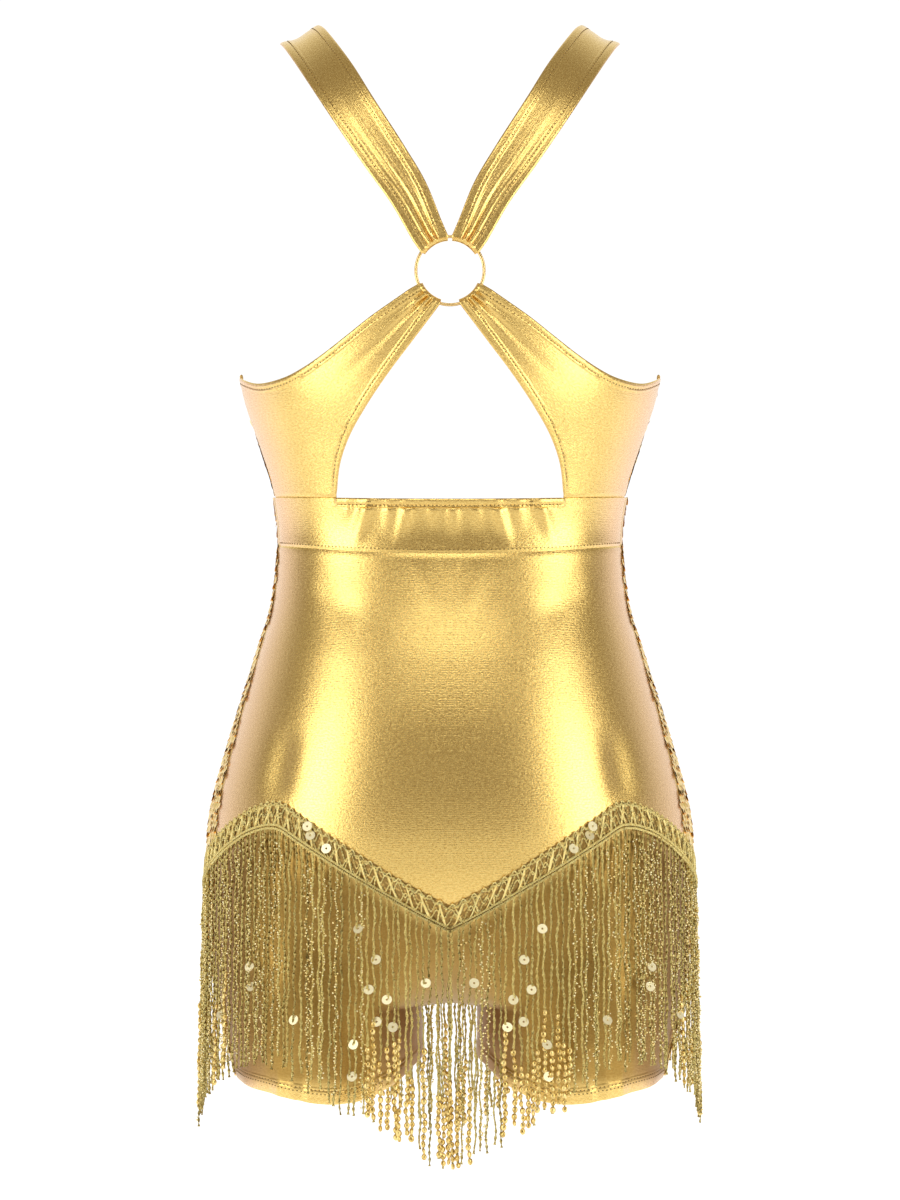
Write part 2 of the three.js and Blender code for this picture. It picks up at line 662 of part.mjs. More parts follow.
const strapColumns = [0, 0.95, ...spaced(1, strap.last + 1, 18), strap.last + 1.05, strap.last + 2];
const strapFold = { from: STRAP_ANGLES.out, to: STRAP_ANGLES.in };
for (const [side, label] of [[1, 'right'], [-1, 'left']]) {
  const folds = [{ ring: RINGS.back, ...strapFold }, { ring: RINGS.front, ...strapFold }];
  addHemmed(`strap_${label}`, netOf(strapColumns, HEMMED_ROWS, strapPoint), side, STRAP_WALL, FOIL_KNIT, folds);
}

// Rings of round gold wire
for (const [label, ring] of Object.entries(RINGS)) {
  const geometry = new THREE.TorusGeometry(ring.radius, WIRE, 6, 36);
  geometry.rotateX(Math.PI / 2);
  geometry.translate(0, ring.depth, ring.level);
  add(`${label}_ring`, geometry, GOLD_WIRE);
}

// Braid with its fringe: a lace strip between two cords, and strands that hang from the lower cord
const BRAID_ROWS = [
  { up: 1, thick: BRAID_CORD },
  { up: 0.8, thick: BRAID_LACE },
  { up: 0.25, thick: BRAID_LACE },
  { up: CORD_HEIGHT / BRAID_HEIGHT, thick: BRAID_CORD },
  { up: 0, thick: BRAID_CORD },
];

const braidMiddle = (turn) => valueAt(BRAID, 'turn', 'z', turn > 90 ? 180 - turn : turn);

// A point of the braid: turn is in degrees from the centre of its side, up is a share of the braid's height
function braidPoint(turn, row, facing) {
  const z = braidMiddle(Math.abs(turn)) + (row.up - 0.5) * BRAID_HEIGHT;
  const point = clothPoint(Math.min(Math.abs(turn) / sideLimit(z, facing), 1), z, facing);
  if (turn < 0) point.x *= -1;
  point.lift = row.thick - BRAID_LACE;
  return point;
}

// One strand, let into the lower cord at its root and leaning a little away from the cloth
function strandSolid(root, outward, index) {
  const uneven = 2.5 * Math.sin(index * 2.4) + 2 * Math.sin(index * 0.9);
  const top = root.clone();
  top.z += ROOT_DEPTH;
  const tip = root.clone().addScaledVector(outward, STRAND_LEAN + 0.4 * Math.sin(index * 1.7));
  tip.z -= STRAND_LENGTH + uneven;
  const strand = new THREE.CylinderGeometry(STRAND_RADIUS, STRAND_RADIUS, tip.distanceTo(top), 3, 1);
  const direction = new THREE.Vector3().subVectors(top, tip).normalize();
  strand.applyQuaternion(new THREE.Quaternion().setFromUnitVectors(new THREE.Vector3(0, 1, 0), direction));
  const middle = top.lerp(tip, 0.5);
  strand.translate(middle.x, middle.y, middle.z);
  return solidOf(strand);
}

function fringeSolid(facing, clothWall) {
  const limit = sideLimit(BRAID[BRAID.length - 1].z, facing) - SEAM_TURN_GAP;
  const turns = spaced(-limit, limit, facing < 0 ? 30 : 42);
  const sheet = netOf(turns, BRAID_ROWS, (turn, row) => braidPoint(turn, row, facing), facing < 0);
  const seat = clothWall / 2 + BRAID_SEAT;
  let solid = solidOf(wallOf(sheet, seat + BRAID_LACE, seat));

  const normals = outwardOf(sheet).slice(-turns.length);
  const rootSeat = seat + BRAID_CORD / 2;
  const edge = sheet.points.slice(-turns.length).map((p, i) => p.clone().addScaledVector(normals[i], rootSeat));
  let next = STRAND_SPACING / 2;
  let count = 0;
  for (let i = 1; i < edge.length; i += 1) {
    const plan = Math.hypot(edge[i].x - edge[i - 1].x, edge[i].y - edge[i - 1].y);
    const outward = normals[i].clone().add(normals[i - 1]).setZ(0).normalize();
    for (; next < plan; next += STRAND_SPACING) {
      count += 1;
      solid = solid.add(strandSolid(edge[i - 1].clone().lerp(edge[i], next / plan), outward, count));
    }
    next -= plan;
  }
  return geometryOf(solid);
}

add('back_fringe', fringeSolid(-1, KNIT_WALL), FRINGE);
add('front_fringe', fringeSolid(1, SEQUIN_WALL), FRINGE);

export default garment;
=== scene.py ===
# Looks of a sequin leotard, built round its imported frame: gold foil knit behind, sequin cloth in front.
# Tables and places are in millimetres in the garment's own frame. Meshes get them in metres.
import math
from bisect import bisect_right
from functools import cache

import bpy
import numpy as np
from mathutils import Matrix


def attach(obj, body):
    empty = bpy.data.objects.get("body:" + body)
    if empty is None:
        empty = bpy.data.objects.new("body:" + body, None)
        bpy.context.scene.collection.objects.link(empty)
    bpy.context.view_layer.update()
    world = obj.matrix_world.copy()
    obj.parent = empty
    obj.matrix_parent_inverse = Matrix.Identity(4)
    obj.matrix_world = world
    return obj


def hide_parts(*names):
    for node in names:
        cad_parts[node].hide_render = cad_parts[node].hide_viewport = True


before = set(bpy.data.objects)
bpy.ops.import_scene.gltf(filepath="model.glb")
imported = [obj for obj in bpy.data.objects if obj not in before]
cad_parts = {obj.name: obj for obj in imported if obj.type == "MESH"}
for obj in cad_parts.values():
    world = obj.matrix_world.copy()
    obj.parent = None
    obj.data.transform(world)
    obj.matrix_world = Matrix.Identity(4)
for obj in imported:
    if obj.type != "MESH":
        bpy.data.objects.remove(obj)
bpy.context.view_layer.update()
MM = 0.001


# Studio: a wide pale floor, air that is pale behind the garment and dim in front of it, a camera level with
# the garment's middle, and soft lights. The two tall ones stand to the left and right of the camera.
FLOOR_LEVEL = -0.803
FLOOR_RADIUS = 14.0
CAMERA_DISTANCE = 3.2
CAMERA_LEVEL = -0.384
LENS = 141.2


class Value:
    """A shader socket's value. Arithmetic on it adds Math nodes."""

    def __init__(self, finish, socket):
        self.finish = finish
        self.socket = socket

    def maths(self, operation, *values):
        return self.finish.node("ShaderNodeMath", {"operation": operation}, list(values))

    def __add__(self, other):
        return self.maths("ADD", self, other)

    def __radd__(self, other):
        return self.maths("ADD", other, self)

    def __sub__(self, other):
        return self.maths("SUBTRACT", self, other)

    def __rsub__(self, other):
        return self.maths("SUBTRACT", other, self)

    def __mul__(self, other):
        return self.maths("MULTIPLY", self, other)

    def __rmul__(self, other):
        return self.maths("MULTIPLY", other, self)

    def at_least(self, other):
        return self.maths("MAXIMUM", self, other)

    def between(self, low, high):
        """0 below low, 1 above high, and a smooth rise between."""
        sockets = {"Value": self, "From Min": low, "From Max": high}
        return self.finish.node("ShaderNodeMapRange", {"interpolation_type": "SMOOTHSTEP"}, sockets)


class Nodes:
    """A node tree, and the one method that adds a node to it."""

    def __init__(self, tree):
        self.tree = tree

    def node(self, kind, settings, inputs, output=0):
        made = self.tree.nodes.new(kind)
        for name, value in settings.items():
            setattr(made, name, value)
        places = inputs.items() if isinstance(inputs, dict) else enumerate(inputs)
        for place, value in places:
            self.feed(made.inputs[place], value)
        return Value(self, made.outputs[output])

    def feed(self, socket, value):
        if isinstance(value, Value):
            self.tree.links.new(value.socket, socket)
        else:
            socket.default_value = value

    def set(self, shader, values):
        for name, value in values.items():
            self.feed(shader.inputs[name.replace("_", " ")], value)

    def where(self, kind="Object"):
        return self.node("ShaderNodeTexCoord", {}, {}, kind)

    def noise(self, place, scale, detail=2.0, rough=0.5):
        sockets = {"Vector": place, "Scale": scale, "Detail": detail, "Roughness": rough}
        return self.node("ShaderNodeTexNoise", {}, sockets, "Fac")

    def blend(self, share, first, second, how="MIX"):
        """Mixes two colours, each of them three numbers or a socket's value."""
        first, second = (c if isinstance(c, Value) else (*c, 1) for c in (first, second))
        settings = {"data_type": "RGBA", "blend_type": how}
        return self.node("ShaderNodeMix", settings, {0: share, 6: first, 7: second}, 2)

    def stretched(self, place, scales):
        return self.node("ShaderNodeVectorMath", {"operation": "MULTIPLY"}, [place, scales])

    def painted(self, name):
        """A value that is kept at the piece's own points."""
        return self.node("ShaderNodeAttribute", {"attribute_name": name}, {}, "Fac")

    def cells(self, place, scale):
        return self.node("ShaderNodeTexVoronoi", {}, {"Vector": place, "Scale": scale}, "Distance")

    def waves(self, place, direction, scale, distortion):
        sockets = {"Vector": place, "Scale": scale, "Distortion": distortion}
        return self.node("ShaderNodeTexWave", {"bands_direction": direction}, sockets, "Fac")

    def bump(self, height, depth, strength=1.0):
        return self.node("ShaderNodeBump", {}, {"Height": height, "Distance": depth, "Strength": strength})


class Finish(Nodes):
    """A material with one Principled shader."""

    def __init__(self, name, **constants):
        self.material = bpy.data.materials.new(name)
        self.material.use_nodes = True
        super().__init__(self.material.node_tree)
        self.finish(**constants)

    def finish(self, **values):
        self.set(self.tree.nodes["Principled BSDF"], values)


def deselect():
    bpy.ops.object.select_all(action="DESELECT")


def name_it(name):
    made = bpy.context.object
    made.name = made.data.name = name
    return made


deselect()
bpy.ops.mesh.primitive_circle_add(
    vertices=96, radius=FLOOR_RADIUS, fill_type="NGON", location=(0, 0, FLOOR_LEVEL))
bpy.ops.object.transform_apply(location=True, rotation=False, scale=False)
floor = name_it("studio_floor")
paper = Finish("studio_paper", Roughness=0.9, Emission_Strength=0.85)
from_front = paper.node("ShaderNodeSeparateXYZ", {}, [paper.where()], "Y")
in_view = paper.node("ShaderNodeLightPath", {}, {}, "Is Camera Ray")
glow = from_front.between(-0.55, 0.0)
paper.finish(
    Base_Color=paper.blend(paper.noise(paper.where(), 3.0), (0.62, 0.62, 0.61), (0.66, 0.66, 0.655)),
    Emission_Color=paper.blend(glow.at_least(in_view), (0.46, 0.44, 0.37), (1, 1, 1)),
)
floor.data.materials.append(paper.material)

bpy.ops.object.camera_add(location=(0, -CAMERA_DISTANCE, CAMERA_LEVEL), rotation=(math.pi / 2, 0, 0))
camera = bpy.context.object
camera.data.lens = LENS
camera.data.sensor_width = 36
bpy.context.scene.camera = camera
bpy.context.scene.view_settings.view_transform = "Standard"

world = bpy.data.worlds.new("studio_air")
bpy.context.scene.world = world
world.use_nodes = True
air = Nodes(world.node_tree)
behind = air.node("ShaderNodeSeparateXYZ", {}, [air.where("Generated")], "Y").between(0.0, 0.95)
seen = air.node("ShaderNodeLightPath", {}, {}, "Is Camera Ray")
air_colour = air.blend(behind.at_least(seen), (0.27, 0.225, 0.17), (1.06, 1.06, 1.06))
air.set(world.node_tree.nodes["Background"], {"Color": air_colour, "Strength": 1.0})

SOFTBOX_LIGHT = (1.0, 0.99, 0.88)
# name, azimuth and elevation of its place in degrees, distance, width, height, power
SOFTBOXES = (
    ("left_softbox", -52, 8, 2.2, 0.88, 1.9, 19),
    ("right_softbox", 52, 8, 2.2, 0.88, 1.9, 19),
    ("top_softbox", 0, 50, 2.4, 1.5, 0.7, 9),
    ("left_fill", -112, 10, 2.6, 1.0, 1.8, 0.6),
    ("right_fill", 112, 10, 2.6, 1.0, 1.8, 0.6),
)
AIM = np.array((0, 0, -0.45))
for name, azimuth, elevation, distance, width, height, power in SOFTBOXES:
    a, e = math.radians(azimuth), math.radians(elevation)
    away = np.array((math.sin(a) * math.cos(e), -math.cos(a) * math.cos(e), math.sin(e)))
    turned = (math.pi / 2 - e, 0, a)
    bpy.ops.object.light_add(type="AREA", location=AIM + away * distance, rotation=turned)
    light = bpy.context.object
    light.name = name
    light.data.shape = "RECTANGLE"
    light.data.size, light.data.size_y = width, height
    light.data.energy = power
    light.data.color = SOFTBOX_LIGHT


# Back of the body: one piece of gold foil knit from the waistband to the leg hems, with flat gussets between
# the legs. It is sewn to the front at the side and inner leg seams, and its leg hems are turned up and sewn
# with two rows of stitches, which are small grains of gold thread coloured very dark: partly the thread's own
# dark gold and partly painted shade of the sunk stitches and their needle holes.
class Table:
    """Rows of sizes with named columns, read between the rows along the first column with smooth slopes."""

    def __init__(self, names, *rows):
        rows = sorted(rows)
        self.columns = {name: [row[i] for row in rows] for i, name in enumerate(names.split())}
        self.keys = self.columns[names.split()[0]]
        self.last = len(rows) - 1
        self.slopes = {name: [self.slope(name, k) for k in range(len(rows))] for name in self.columns}

    def slope(self, name, k):
        before, after = max(k - 1, 0), min(k + 1, self.last)
        rise = self.columns[name][after] - self.columns[name][before]
        return rise / (self.keys[after] - self.keys[before] or 1)

    def rows(self):
        return zip(*self.columns.values())

    def at(self, name, place):
        values, slopes = self.columns[name], self.slopes[name]
        if place <= self.keys[0]:
            return values[0]
        if place >= self.keys[self.last]:
            return values[self.last]
        i = bisect_right(self.keys, place) - 1
        width = self.keys[i + 1] - self.keys[i]
        t = (place - self.keys[i]) / width
        u = 1 - t
        start = values[i] * (1 + 2 * t) * u * u + slopes[i] * width * t * u * u
        return start + values[i + 1] * (3 - 2 * t) * t * t - slopes[i + 1] * width * t * t * u


FIGURE = Table(
    "z half back front leg_back leg_front",
    (-120, 140, 93, 92, 100, 78), (-165, 142, 98, 101, 100, 78), (-205, 143, 96, 106, 100, 78),
    (-241, 141, 92, 104, 100, 78), (-282, 128.8, 82, 97, 100, 78), (-314, 120, 75, 90, 100, 78),
    (-343, 116.4, 72, 88, 100, 78), (-384, 119.8, 82, 92, 100, 78), (-425, 132, 97, 98, 100, 78),
    (-466, 145, 109, 101, 100, 82), (-507, 157, 116, 102, 100, 84), (-532, 162.5, 118, 101, 100, 84),
    (-550, 164, 117.5, 100, 99, 83), (-580, 164.5, 114, 97, 96, 80), (-620, 162, 106, 93, 91, 75.5),
    (-660, 156, 97, 90, 86, 72.5), (-700, 146, 88, 86, 81, 70), (-730, 138, 82, 83, 77, 68),
)
SIDE_SEAM = Table(
    "z turn",
    (-225, 84), (-314, 79), (-350, 82), (-430, 78), (-500, 74), (-560, 72), (-640, 76), (-730, 80),
)
LEG_EDGE = Table(
    "turn z",
    (0, -691), (26, -697), (53, -709.5), (75, -717), (95, -718), (125, -712.5), (180, -706), (200, -706),
)
SQUARENESS = 0.94
SEAT_TURNS_UNDER = -560
CROTCH = -657
LEG_TOP = CROTCH - 0.6
LEG_GAP_STARTS = -610
HALF_LEG_GAP = 19
GUSSET = 0.12
SEAM_TURN_GAP = 0.05
WAIST_TOP = -317
WAIST_BOTTOM = -353
KNIT_WALL = 1.1
LEG_HEM = 10
HEM_ROLL = 0.6
HEM_EDGE = 0.9
STITCH_INSIDE = 1
STITCH_PULL = 0.5
PULL_WIDTH = 0.7
SEAM_DIP = 0.7
SEAM_WIDTH = 1.6
LEG_RIPPLE = 0.5
SHARPEST_FOLD = math.radians(50)


def mix(a, b, t):
    return a + (b - a) * t


def smooth(t):
    s = min(max(t, 0), 1)
    return s * s * (3 - 2 * s)


def bell(away):
    return math.exp(-away * away)


def rounded(value):
    return math.copysign(abs(value) ** SQUARENESS, value)


def figure(column, z):
    return FIGURE.at(column, z)


def seam_turn(z):
    return SIDE_SEAM.at("turn", z)


def torso_point(turn, z):
    """A point of the torso: turn is in degrees round from the centre back, 180 at the centre front."""
    across = rounded(math.sin(math.radians(turn)))
    along = rounded(math.cos(math.radians(turn)))
    depth = figure("back" if along > 0 else "front", z)
    return np.array((figure("half", z) * across, -depth * along, z))


def turn_at(x, z):
    across = min(abs(x) / figure("half", z), 1)
    return math.copysign(math.degrees(math.asin(across ** (1 / SQUARENESS))), x)


def leg_gap(z):
    return HALF_LEG_GAP * smooth((LEG_GAP_STARTS - z) / (LEG_GAP_STARTS - CROTCH))


def leg_point(turn, z, facing):
    """A point of the right leg: turn is in degrees round the leg from its inner seam."""
    gap = leg_gap(z)
    middle = (figure("half", z) + gap) / 2
    reach = (figure("half", z) - gap) / 2
    along = rounded(math.sin(math.radians(turn))) * facing
    depth = figure("leg_front" if along > 0 else "leg_back", z)
    return np.array((middle - reach * rounded(math.cos(math.radians(turn))), depth * along, z))


def leg_share(z, across):
    down = min(max((SEAT_TURNS_UNDER - z) / (SEAT_TURNS_UNDER - CROTCH), 0), 1)
    at_gusset = 1 - math.sqrt(1 - down * down)
    return mix(at_gusset, smooth(down), smooth(across / (5 * GUSSET)))


def waist_bottom(turn):
    return WAIST_BOTTOM + 5.7 * math.sin(math.radians(turn)) ** 2


def side_limit(z, facing):
    return (seam_turn(z) if facing < 0 else 180 - seam_turn(z)) - SEAM_TURN_GAP


def cloth_point(across, z, facing):
    """A point of the right half of the body cloth: across is 0 at the centre and 1 at the side seam."""
    limit = side_limit(z, facing)
    turn = across * limit
    torso = torso_point(turn if facing < 0 else 180 - turn, z)
    share = leg_share(z, across)
    point = mix(torso, leg_point(across * (90 + limit), z, facing), share)
    if z >= CROTCH:
        point[0] -= share * leg_gap(z) * max(0, 1 - across / GUSSET)
    if across == 0:
        point[1] = facing * max(abs(point[1]), 0.3)
        if z >= CROTCH:
            point[0] = 0
    return point


def creased(x, z, creases):
    """How far soft troughs push the cloth in at a place: each fades out towards its two ends."""
    depth = 0
    for x0, z0, x1, z1, deep, wide in creases.rows():
        run = np.array((x1 - x0, z1 - z0))
        along = np.dot(np.array((x - x0, z - z0)), run) / np.dot(run, run)
        if -0.2 < along < 1.2:
            away = abs((x - x0) * run[1] - (z - z0) * run[0]) / math.hypot(*run)
            depth += deep * bell(away / wide) * smooth((0.6 - abs(along - 0.5)) / 0.45)
    return depth


BACK_CREASES = Table(
    "x0 z0 x1 z1 deep wide",
    (107, -468, 117, -520, 1.5, 9), (92, -372, 60, -398, 0.7, 8), (20, -358, 12, -392, 0.5, 6),
    (60, -640, 66, -716, 1.3, 6), (84, -655, 80, -722, -1.4, 7), (104, -640, 112, -716, 1.5, 7),
    (134, -620, 128, -706, 1.1, 6), (44, -650, 38, -700, 0.9, 5), (70, -600, 40, -618, 1.2, 7),
    (96, -604, 60, -632, 0.8, 8), (96, -676, 100, -726, 1.8, 3.5), (70, -680, 68, -726, 1.6, 3.5),
    (111, -684, 114, -724, -1.3, 4), (150, -650, 153, -716, 1.8, 5), (52, -684, 50, -722, -1.1, 3.5),
)
FRONT_CREASES = Table(
    "x0 z0 x1 z1 deep wide",
    (100, -460, 112, -516, 1.1, 10), (84, -366, 50, -392, 0.8, 8), (58, -640, 64, -712, 1.2, 7),
    (96, -650, 98, -716, 1.3, 8), (70, -600, 34, -622, 1.1, 8), (128, -624, 122, -704, 1.0, 7),
)


def hem_step(from_edge, hem):
    """How far the folded hem stands out of the cloth, with its rounded edge and the pull of its stitches."""
    roll = min(from_edge / HEM_EDGE, 1)
    fold = 1 - smooth((from_edge - hem) / HEM_EDGE)
    pull = STITCH_PULL * bell((from_edge - hem + STITCH_INSIDE) / PULL_WIDTH)
    return HEM_ROLL * fold * math.sqrt(roll * (2 - roll)) - pull


def seam_dip(from_seam):
    return SEAM_DIP * bell(from_seam / SEAM_WIDTH)


def leg_edge(across, facing):
    return LEG_EDGE.at("z", across * (90 + side_limit(LEG_EDGE.at("z", 0), facing)))


def body_place(facing, creases):
    def place(across, down):
        top_turn = across * seam_turn(WAIST_BOTTOM)
        top = waist_bottom(top_turn)
        edge = leg_edge(across, facing)
        z = mix(top, CROTCH, down) if down <= 1 else mix(LEG_TOP, edge, down - 1)
        point = cloth_point(across, z, facing)
        lift = hem_step(z - edge, LEG_HEM) if down > 1 else 0
        ripple = LEG_RIPPLE * math.sin(across * 31) * smooth((CROTCH - 25 - z) / 30)
        return point, lift - seam_dip(top - z) - creased(point[0], z, creases) + ripple
    return place


def net_of(columns, rows, place):
    """The cloth's corner points and how far each is pushed out, row by row."""
    made = [[place(u, v) for u in columns] for v in rows]
    points = np.array([[point for point, _ in row] for row in made])
    return points, np.array([[lift for _, lift in row] for row in made])


def arc_lengths(points, axis):
    steps = np.linalg.norm(np.diff(points, axis=axis), axis=2)
    start = np.zeros_like(np.take(steps, [0], axis=axis))
    return np.cumsum(np.concatenate([start, steps], axis=axis), axis=axis)


def edit_whole(*steps):
    """Runs edits on all of the active mesh."""
    bpy.ops.object.mode_set(mode="EDIT")
    bpy.ops.mesh.select_all(action="SELECT")
    for step in steps:
        step()
    bpy.ops.object.mode_set(mode="OBJECT")


def apply_modifier(piece, kind, **settings):
    modifier = piece.modifiers.new(kind.lower(), kind)
    for name, value in settings.items():
        setattr(modifier, name, value)
    bpy.ops.object.modifier_apply(modifier=modifier.name)


def middle_of(points, centre):
    """The point that a cloth's outer face looks away from. Without a centre it is on the garment's axis."""
    return np.array(centre or (0, 0, points[..., 2].mean()))


def lay_cloth(name, columns, rows, place, wall, mirrored=False, side=1, centre=None):
    """Lays a grid of cloth at its place, unrolls its UV map in metres, and gives it its wall."""
    points, lifts = net_of(columns, rows, place)
    points = points * (side, 1, 1)
    deselect()
    bpy.ops.mesh.primitive_grid_add(x_subdivisions=len(columns) - 1, y_subdivisions=len(rows) - 1, size=1)
    cloth = name_it(name)
    mesh = cloth.data
    flat = points.reshape(-1, 3)
    mesh.vertices.foreach_set("co", (flat * MM).ravel())
    mesh.update()
    normals = np.array([v.normal for v in mesh.vertices])
    inward = np.sum(normals * (flat - middle_of(flat, centre))) < 0
    if inward:
        edit_whole(bpy.ops.mesh.flip_normals)
        normals = -normals
    flat = flat + normals * lifts.reshape(-1, 1)
    mesh.vertices.foreach_set("co", (flat * MM).ravel())
    across, down = arc_lengths(points, 1).ravel(), arc_lengths(points, 0).ravel()
    corners = np.zeros(len(mesh.loops), int)
    mesh.loops.foreach_get("vertex_index", corners)
    unrolled = np.stack([across[corners], down[corners]], axis=1) * MM
    mesh.uv_layers[0].data.foreach_set("uv", unrolled.ravel())
    if mirrored:
        apply_modifier(cloth, "MIRROR", merge_threshold=1e-6)
    apply_modifier(cloth, "SOLIDIFY", thickness=wall * MM, offset=0)
    bpy.ops.object.shade_smooth_by_angle(angle=SHARPEST_FOLD)
    # How far each point faces sideways; the finishes paint their pale side reflection from it.
    sideways = cloth.data.attributes.new("sideways", "FLOAT", "POINT")
    sideways.data.foreach_set("value", [abs(v.normal.x) for v in cloth.data.vertices])
    return cloth


def spaced(start, end, steps):
    return [mix(start, end, i / steps) for i in range(steps + 1)]


def finish_piece(piece, finish, slot, *nodes):
    piece.data.materials.clear()
    piece.data.materials.append(finish.material)
    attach(piece, "root")
    if nodes:
        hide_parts(*nodes)
    return piece


foil_knit = Finish("foil_knit", IOR=1.5)
unrolled = foil_knit.where("UV")
grain = foil_knit.noise(foil_knit.stretched(unrolled, (0.55, 1.0, 1.0)), 900, 3, 0.7)
cloud = foil_knit.noise(foil_knit.where(), 28, 3, 0.55)
courses = foil_knit.waves(unrolled, "Y", 260.0, 2.0)
# Where the foil turns sideways it is painted pale rose and made less metallic: a painted reflection of the
# pale studio at the grazing sides.
sideways = foil_knit.painted("sideways")
gold = foil_knit.blend(grain.between(0.3, 0.7), (0.78, 0.53, 0.17), (1.0, 0.75, 0.29))
painted_side_sheen = foil_knit.blend(grain.between(0.3, 0.7), (0.84, 0.56, 0.34), (0.95, 0.66, 0.43))
gold_with_side_sheen = foil_knit.blend(sideways.between(0.56, 0.93), gold, painted_side_sheen)
# The strands' shade is painted on the cloth behind them: its base colour is darkened there and made rougher.
painted_fringe_shade = foil_knit.painted("painted_fringe_shade")
foil_knit.finish(
    Base_Color=foil_knit.blend(painted_fringe_shade, gold_with_side_sheen, (0.46, 0.40, 0.30), "MULTIPLY"),
    Metallic=0.9 - 0.25 * sideways.between(0.6, 1.0),
    Roughness=0.15 + 0.18 * grain + 0.05 * cloud + 0.1 * painted_fringe_shade,
    Normal=foil_knit.bump(grain * 0.9 + courses * 0.1, 0.00028, 0.8),
)

HALF_COLUMNS = spaced(0, 0.12, 8) + spaced(0.132, 1, 62)
BODY_ROWS = (
    spaced(0, 0.03, 6) + spaced(0.04, 0.98, 62) + [0.99, 1.0, 1.0001]
    + spaced(1.03, 1.72, 12) + spaced(1.75, 2, 22))
back_place = body_place(-1, BACK_CREASES)
back_body = lay_cloth("back_body", HALF_COLUMNS, BODY_ROWS, back_place, KNIT_WALL, mirrored=True)
finish_piece(back_body, foil_knit, "foil_knit", "back_panel")


def toned(name, scale, detail, dark, light, share=None, rough=(0.5, 0), relief=None, **constants):
    """A finish with one noise in it, from which its colour, its roughness and its relief all come."""
    made = Finish(name, **constants)
    tone = made.noise(made.where(), scale, detail)
    made.finish(
        Base_Color=made.blend(tone.between(*share) if share else tone, dark, light),
        Roughness=rough[0] + rough[1] * tone,
    )
    if relief:
        made.finish(Normal=made.bump(tone, *relief))
    return made


# The stitches' near-black brown is partly the thread's own dark gold and partly painted shade of sunk
# stitches and needle holes.
stitch_thread_and_shade = toned(
    "stitch_thread_and_shade", 900, 1, (0.12, 0.07, 0.02), (0.30, 0.19, 0.05), relief=(0.0002,), Metallic=0.15)


def model_of(make, finish, slot, flat_shaded=False):
    """A small thing that is modelled once: its points in millimetres, its faces, and how its copies look."""
    deselect()
    make()
    small = bpy.context.object
    points = np.array([v.co for v in small.data.vertices])
    faces = [tuple(p.vertices) for p in small.data.polygons]
    bpy.data.objects.remove(small)
    return points, faces, finish, slot, flat_shaded


def copies(name, model, places):
    """One mesh of copies of a model. Each place is a point, three axes and a size along each of them."""
    points, faces, finish, slot, flat_shaded = model
    corners = np.concatenate([(points * size) @ np.array(axes) + at for at, axes, size in places])
    made = [tuple(i + k * len(points) for i in face) for k in range(len(places)) for face in faces]
    mesh = bpy.data.meshes.new(name)
    mesh.from_pydata((corners * MM).tolist(), [], made)
    piece = bpy.data.objects.new(name, mesh)
    bpy.context.scene.collection.objects.link(piece)
    deselect()
    piece.select_set(True)
    bpy.context.view_layer.objects.active = piece
    if flat_shaded:
        bpy.ops.object.shade_flat()
    else:
        bpy.ops.object.shade_smooth_by_angle(angle=SHARPEST_FOLD)
    return finish_piece(piece, finish, slot)


def unit(vector):
    return vector / (np.linalg.norm(vector) + 1e-9)


def run_lengths(points):
    """How far along a line each of its points is."""
    return np.concatenate([[0], np.cumsum(np.linalg.norm(np.diff(points, axis=0), axis=1))])


def point_at(reach, lengths, points):
    return np.array([np.interp(reach, lengths, points[:, axis]) for axis in range(3)])


def round_grain():
    bpy.ops.mesh.primitive_ico_sphere_add(subdivisions=1, radius=1)


STITCH = model_of(round_grain, stitch_thread_and_shade, "foil_knit")
STITCH_SIZE = np.array((0.6, 0.5, 0.36))
STITCH_PITCH = 2.8
STITCH_STAND = 0.12


def stitches(place, line, wall, side=1, centre=None):
    """Places of stitches, a pitch apart along a line of positions on a cloth and flat on its outer face."""
    points, normals = [], []
    for u, v in line:
        at, lift = place(u, v)
        normal = np.cross(place(u + 0.002, v)[0] - at, place(u, v + 0.002)[0] - at) * (1, side, side)
        normals.append(unit(normal))
        points.append(np.append(at * (side, 1, 1), lift))
    points, normals = np.array(points), np.array(normals)
    away = points[:, :3] - middle_of(points[:, :3], centre)
    normals *= np.sign(np.sum(normals * away, axis=1))[:, None]
    seat = points[:, :3] + normals * (points[:, 3:] + wall / 2 + STITCH_STAND)
    lengths = run_lengths(seat)
    made = []
    for reach in np.arange(STITCH_PITCH / 2, lengths[-1], STITCH_PITCH):
        ahead, back = reach + STITCH_PITCH / 4, reach - STITCH_PITCH / 4
        along = unit(point_at(ahead, lengths, seat) - point_at(back, lengths, seat))
        normal = point_at(reach, lengths, normals)
        normal = unit(normal - along * np.dot(normal, along))
        axes = (along, np.cross(normal, along), normal)
        made.append((point_at(reach, lengths, seat), axes, STITCH_SIZE))
    return made


def leg_hem_line(facing, from_edge):
    columns = spaced(0.03, 0.985, 160)
    return [(across, 2 - from_edge / (LEG_TOP - leg_edge(across, facing))) for across in columns]


back_hem_places = [
    made for side in (1, -1) for inside in (STITCH_INSIDE, 3.4)
    for made in stitches(back_place, leg_hem_line(-1, LEG_HEM - inside), KNIT_WALL, side)]
back_hem_stitches = copies("leg_hem_stitches_back", STITCH, back_hem_places)


# Front of the body: sequin cloth cut as wide as the figure's front, whose round sequins are sewn on
# in staggered rows and lie over each other like scales. A gold net shows between them.
SEQUIN_WALL = 1.2
SEQUIN_RADIUS = 3.1
SEQUIN_PITCH = 5.0
SEQUIN_ROW = 4.1
SEQUIN_TILT = 9
SEQUIN_SCATTER = 4
SEQUIN_STAND = 0.75
DISH_DEPTH = 0.16
DISC_BACK = 0.26

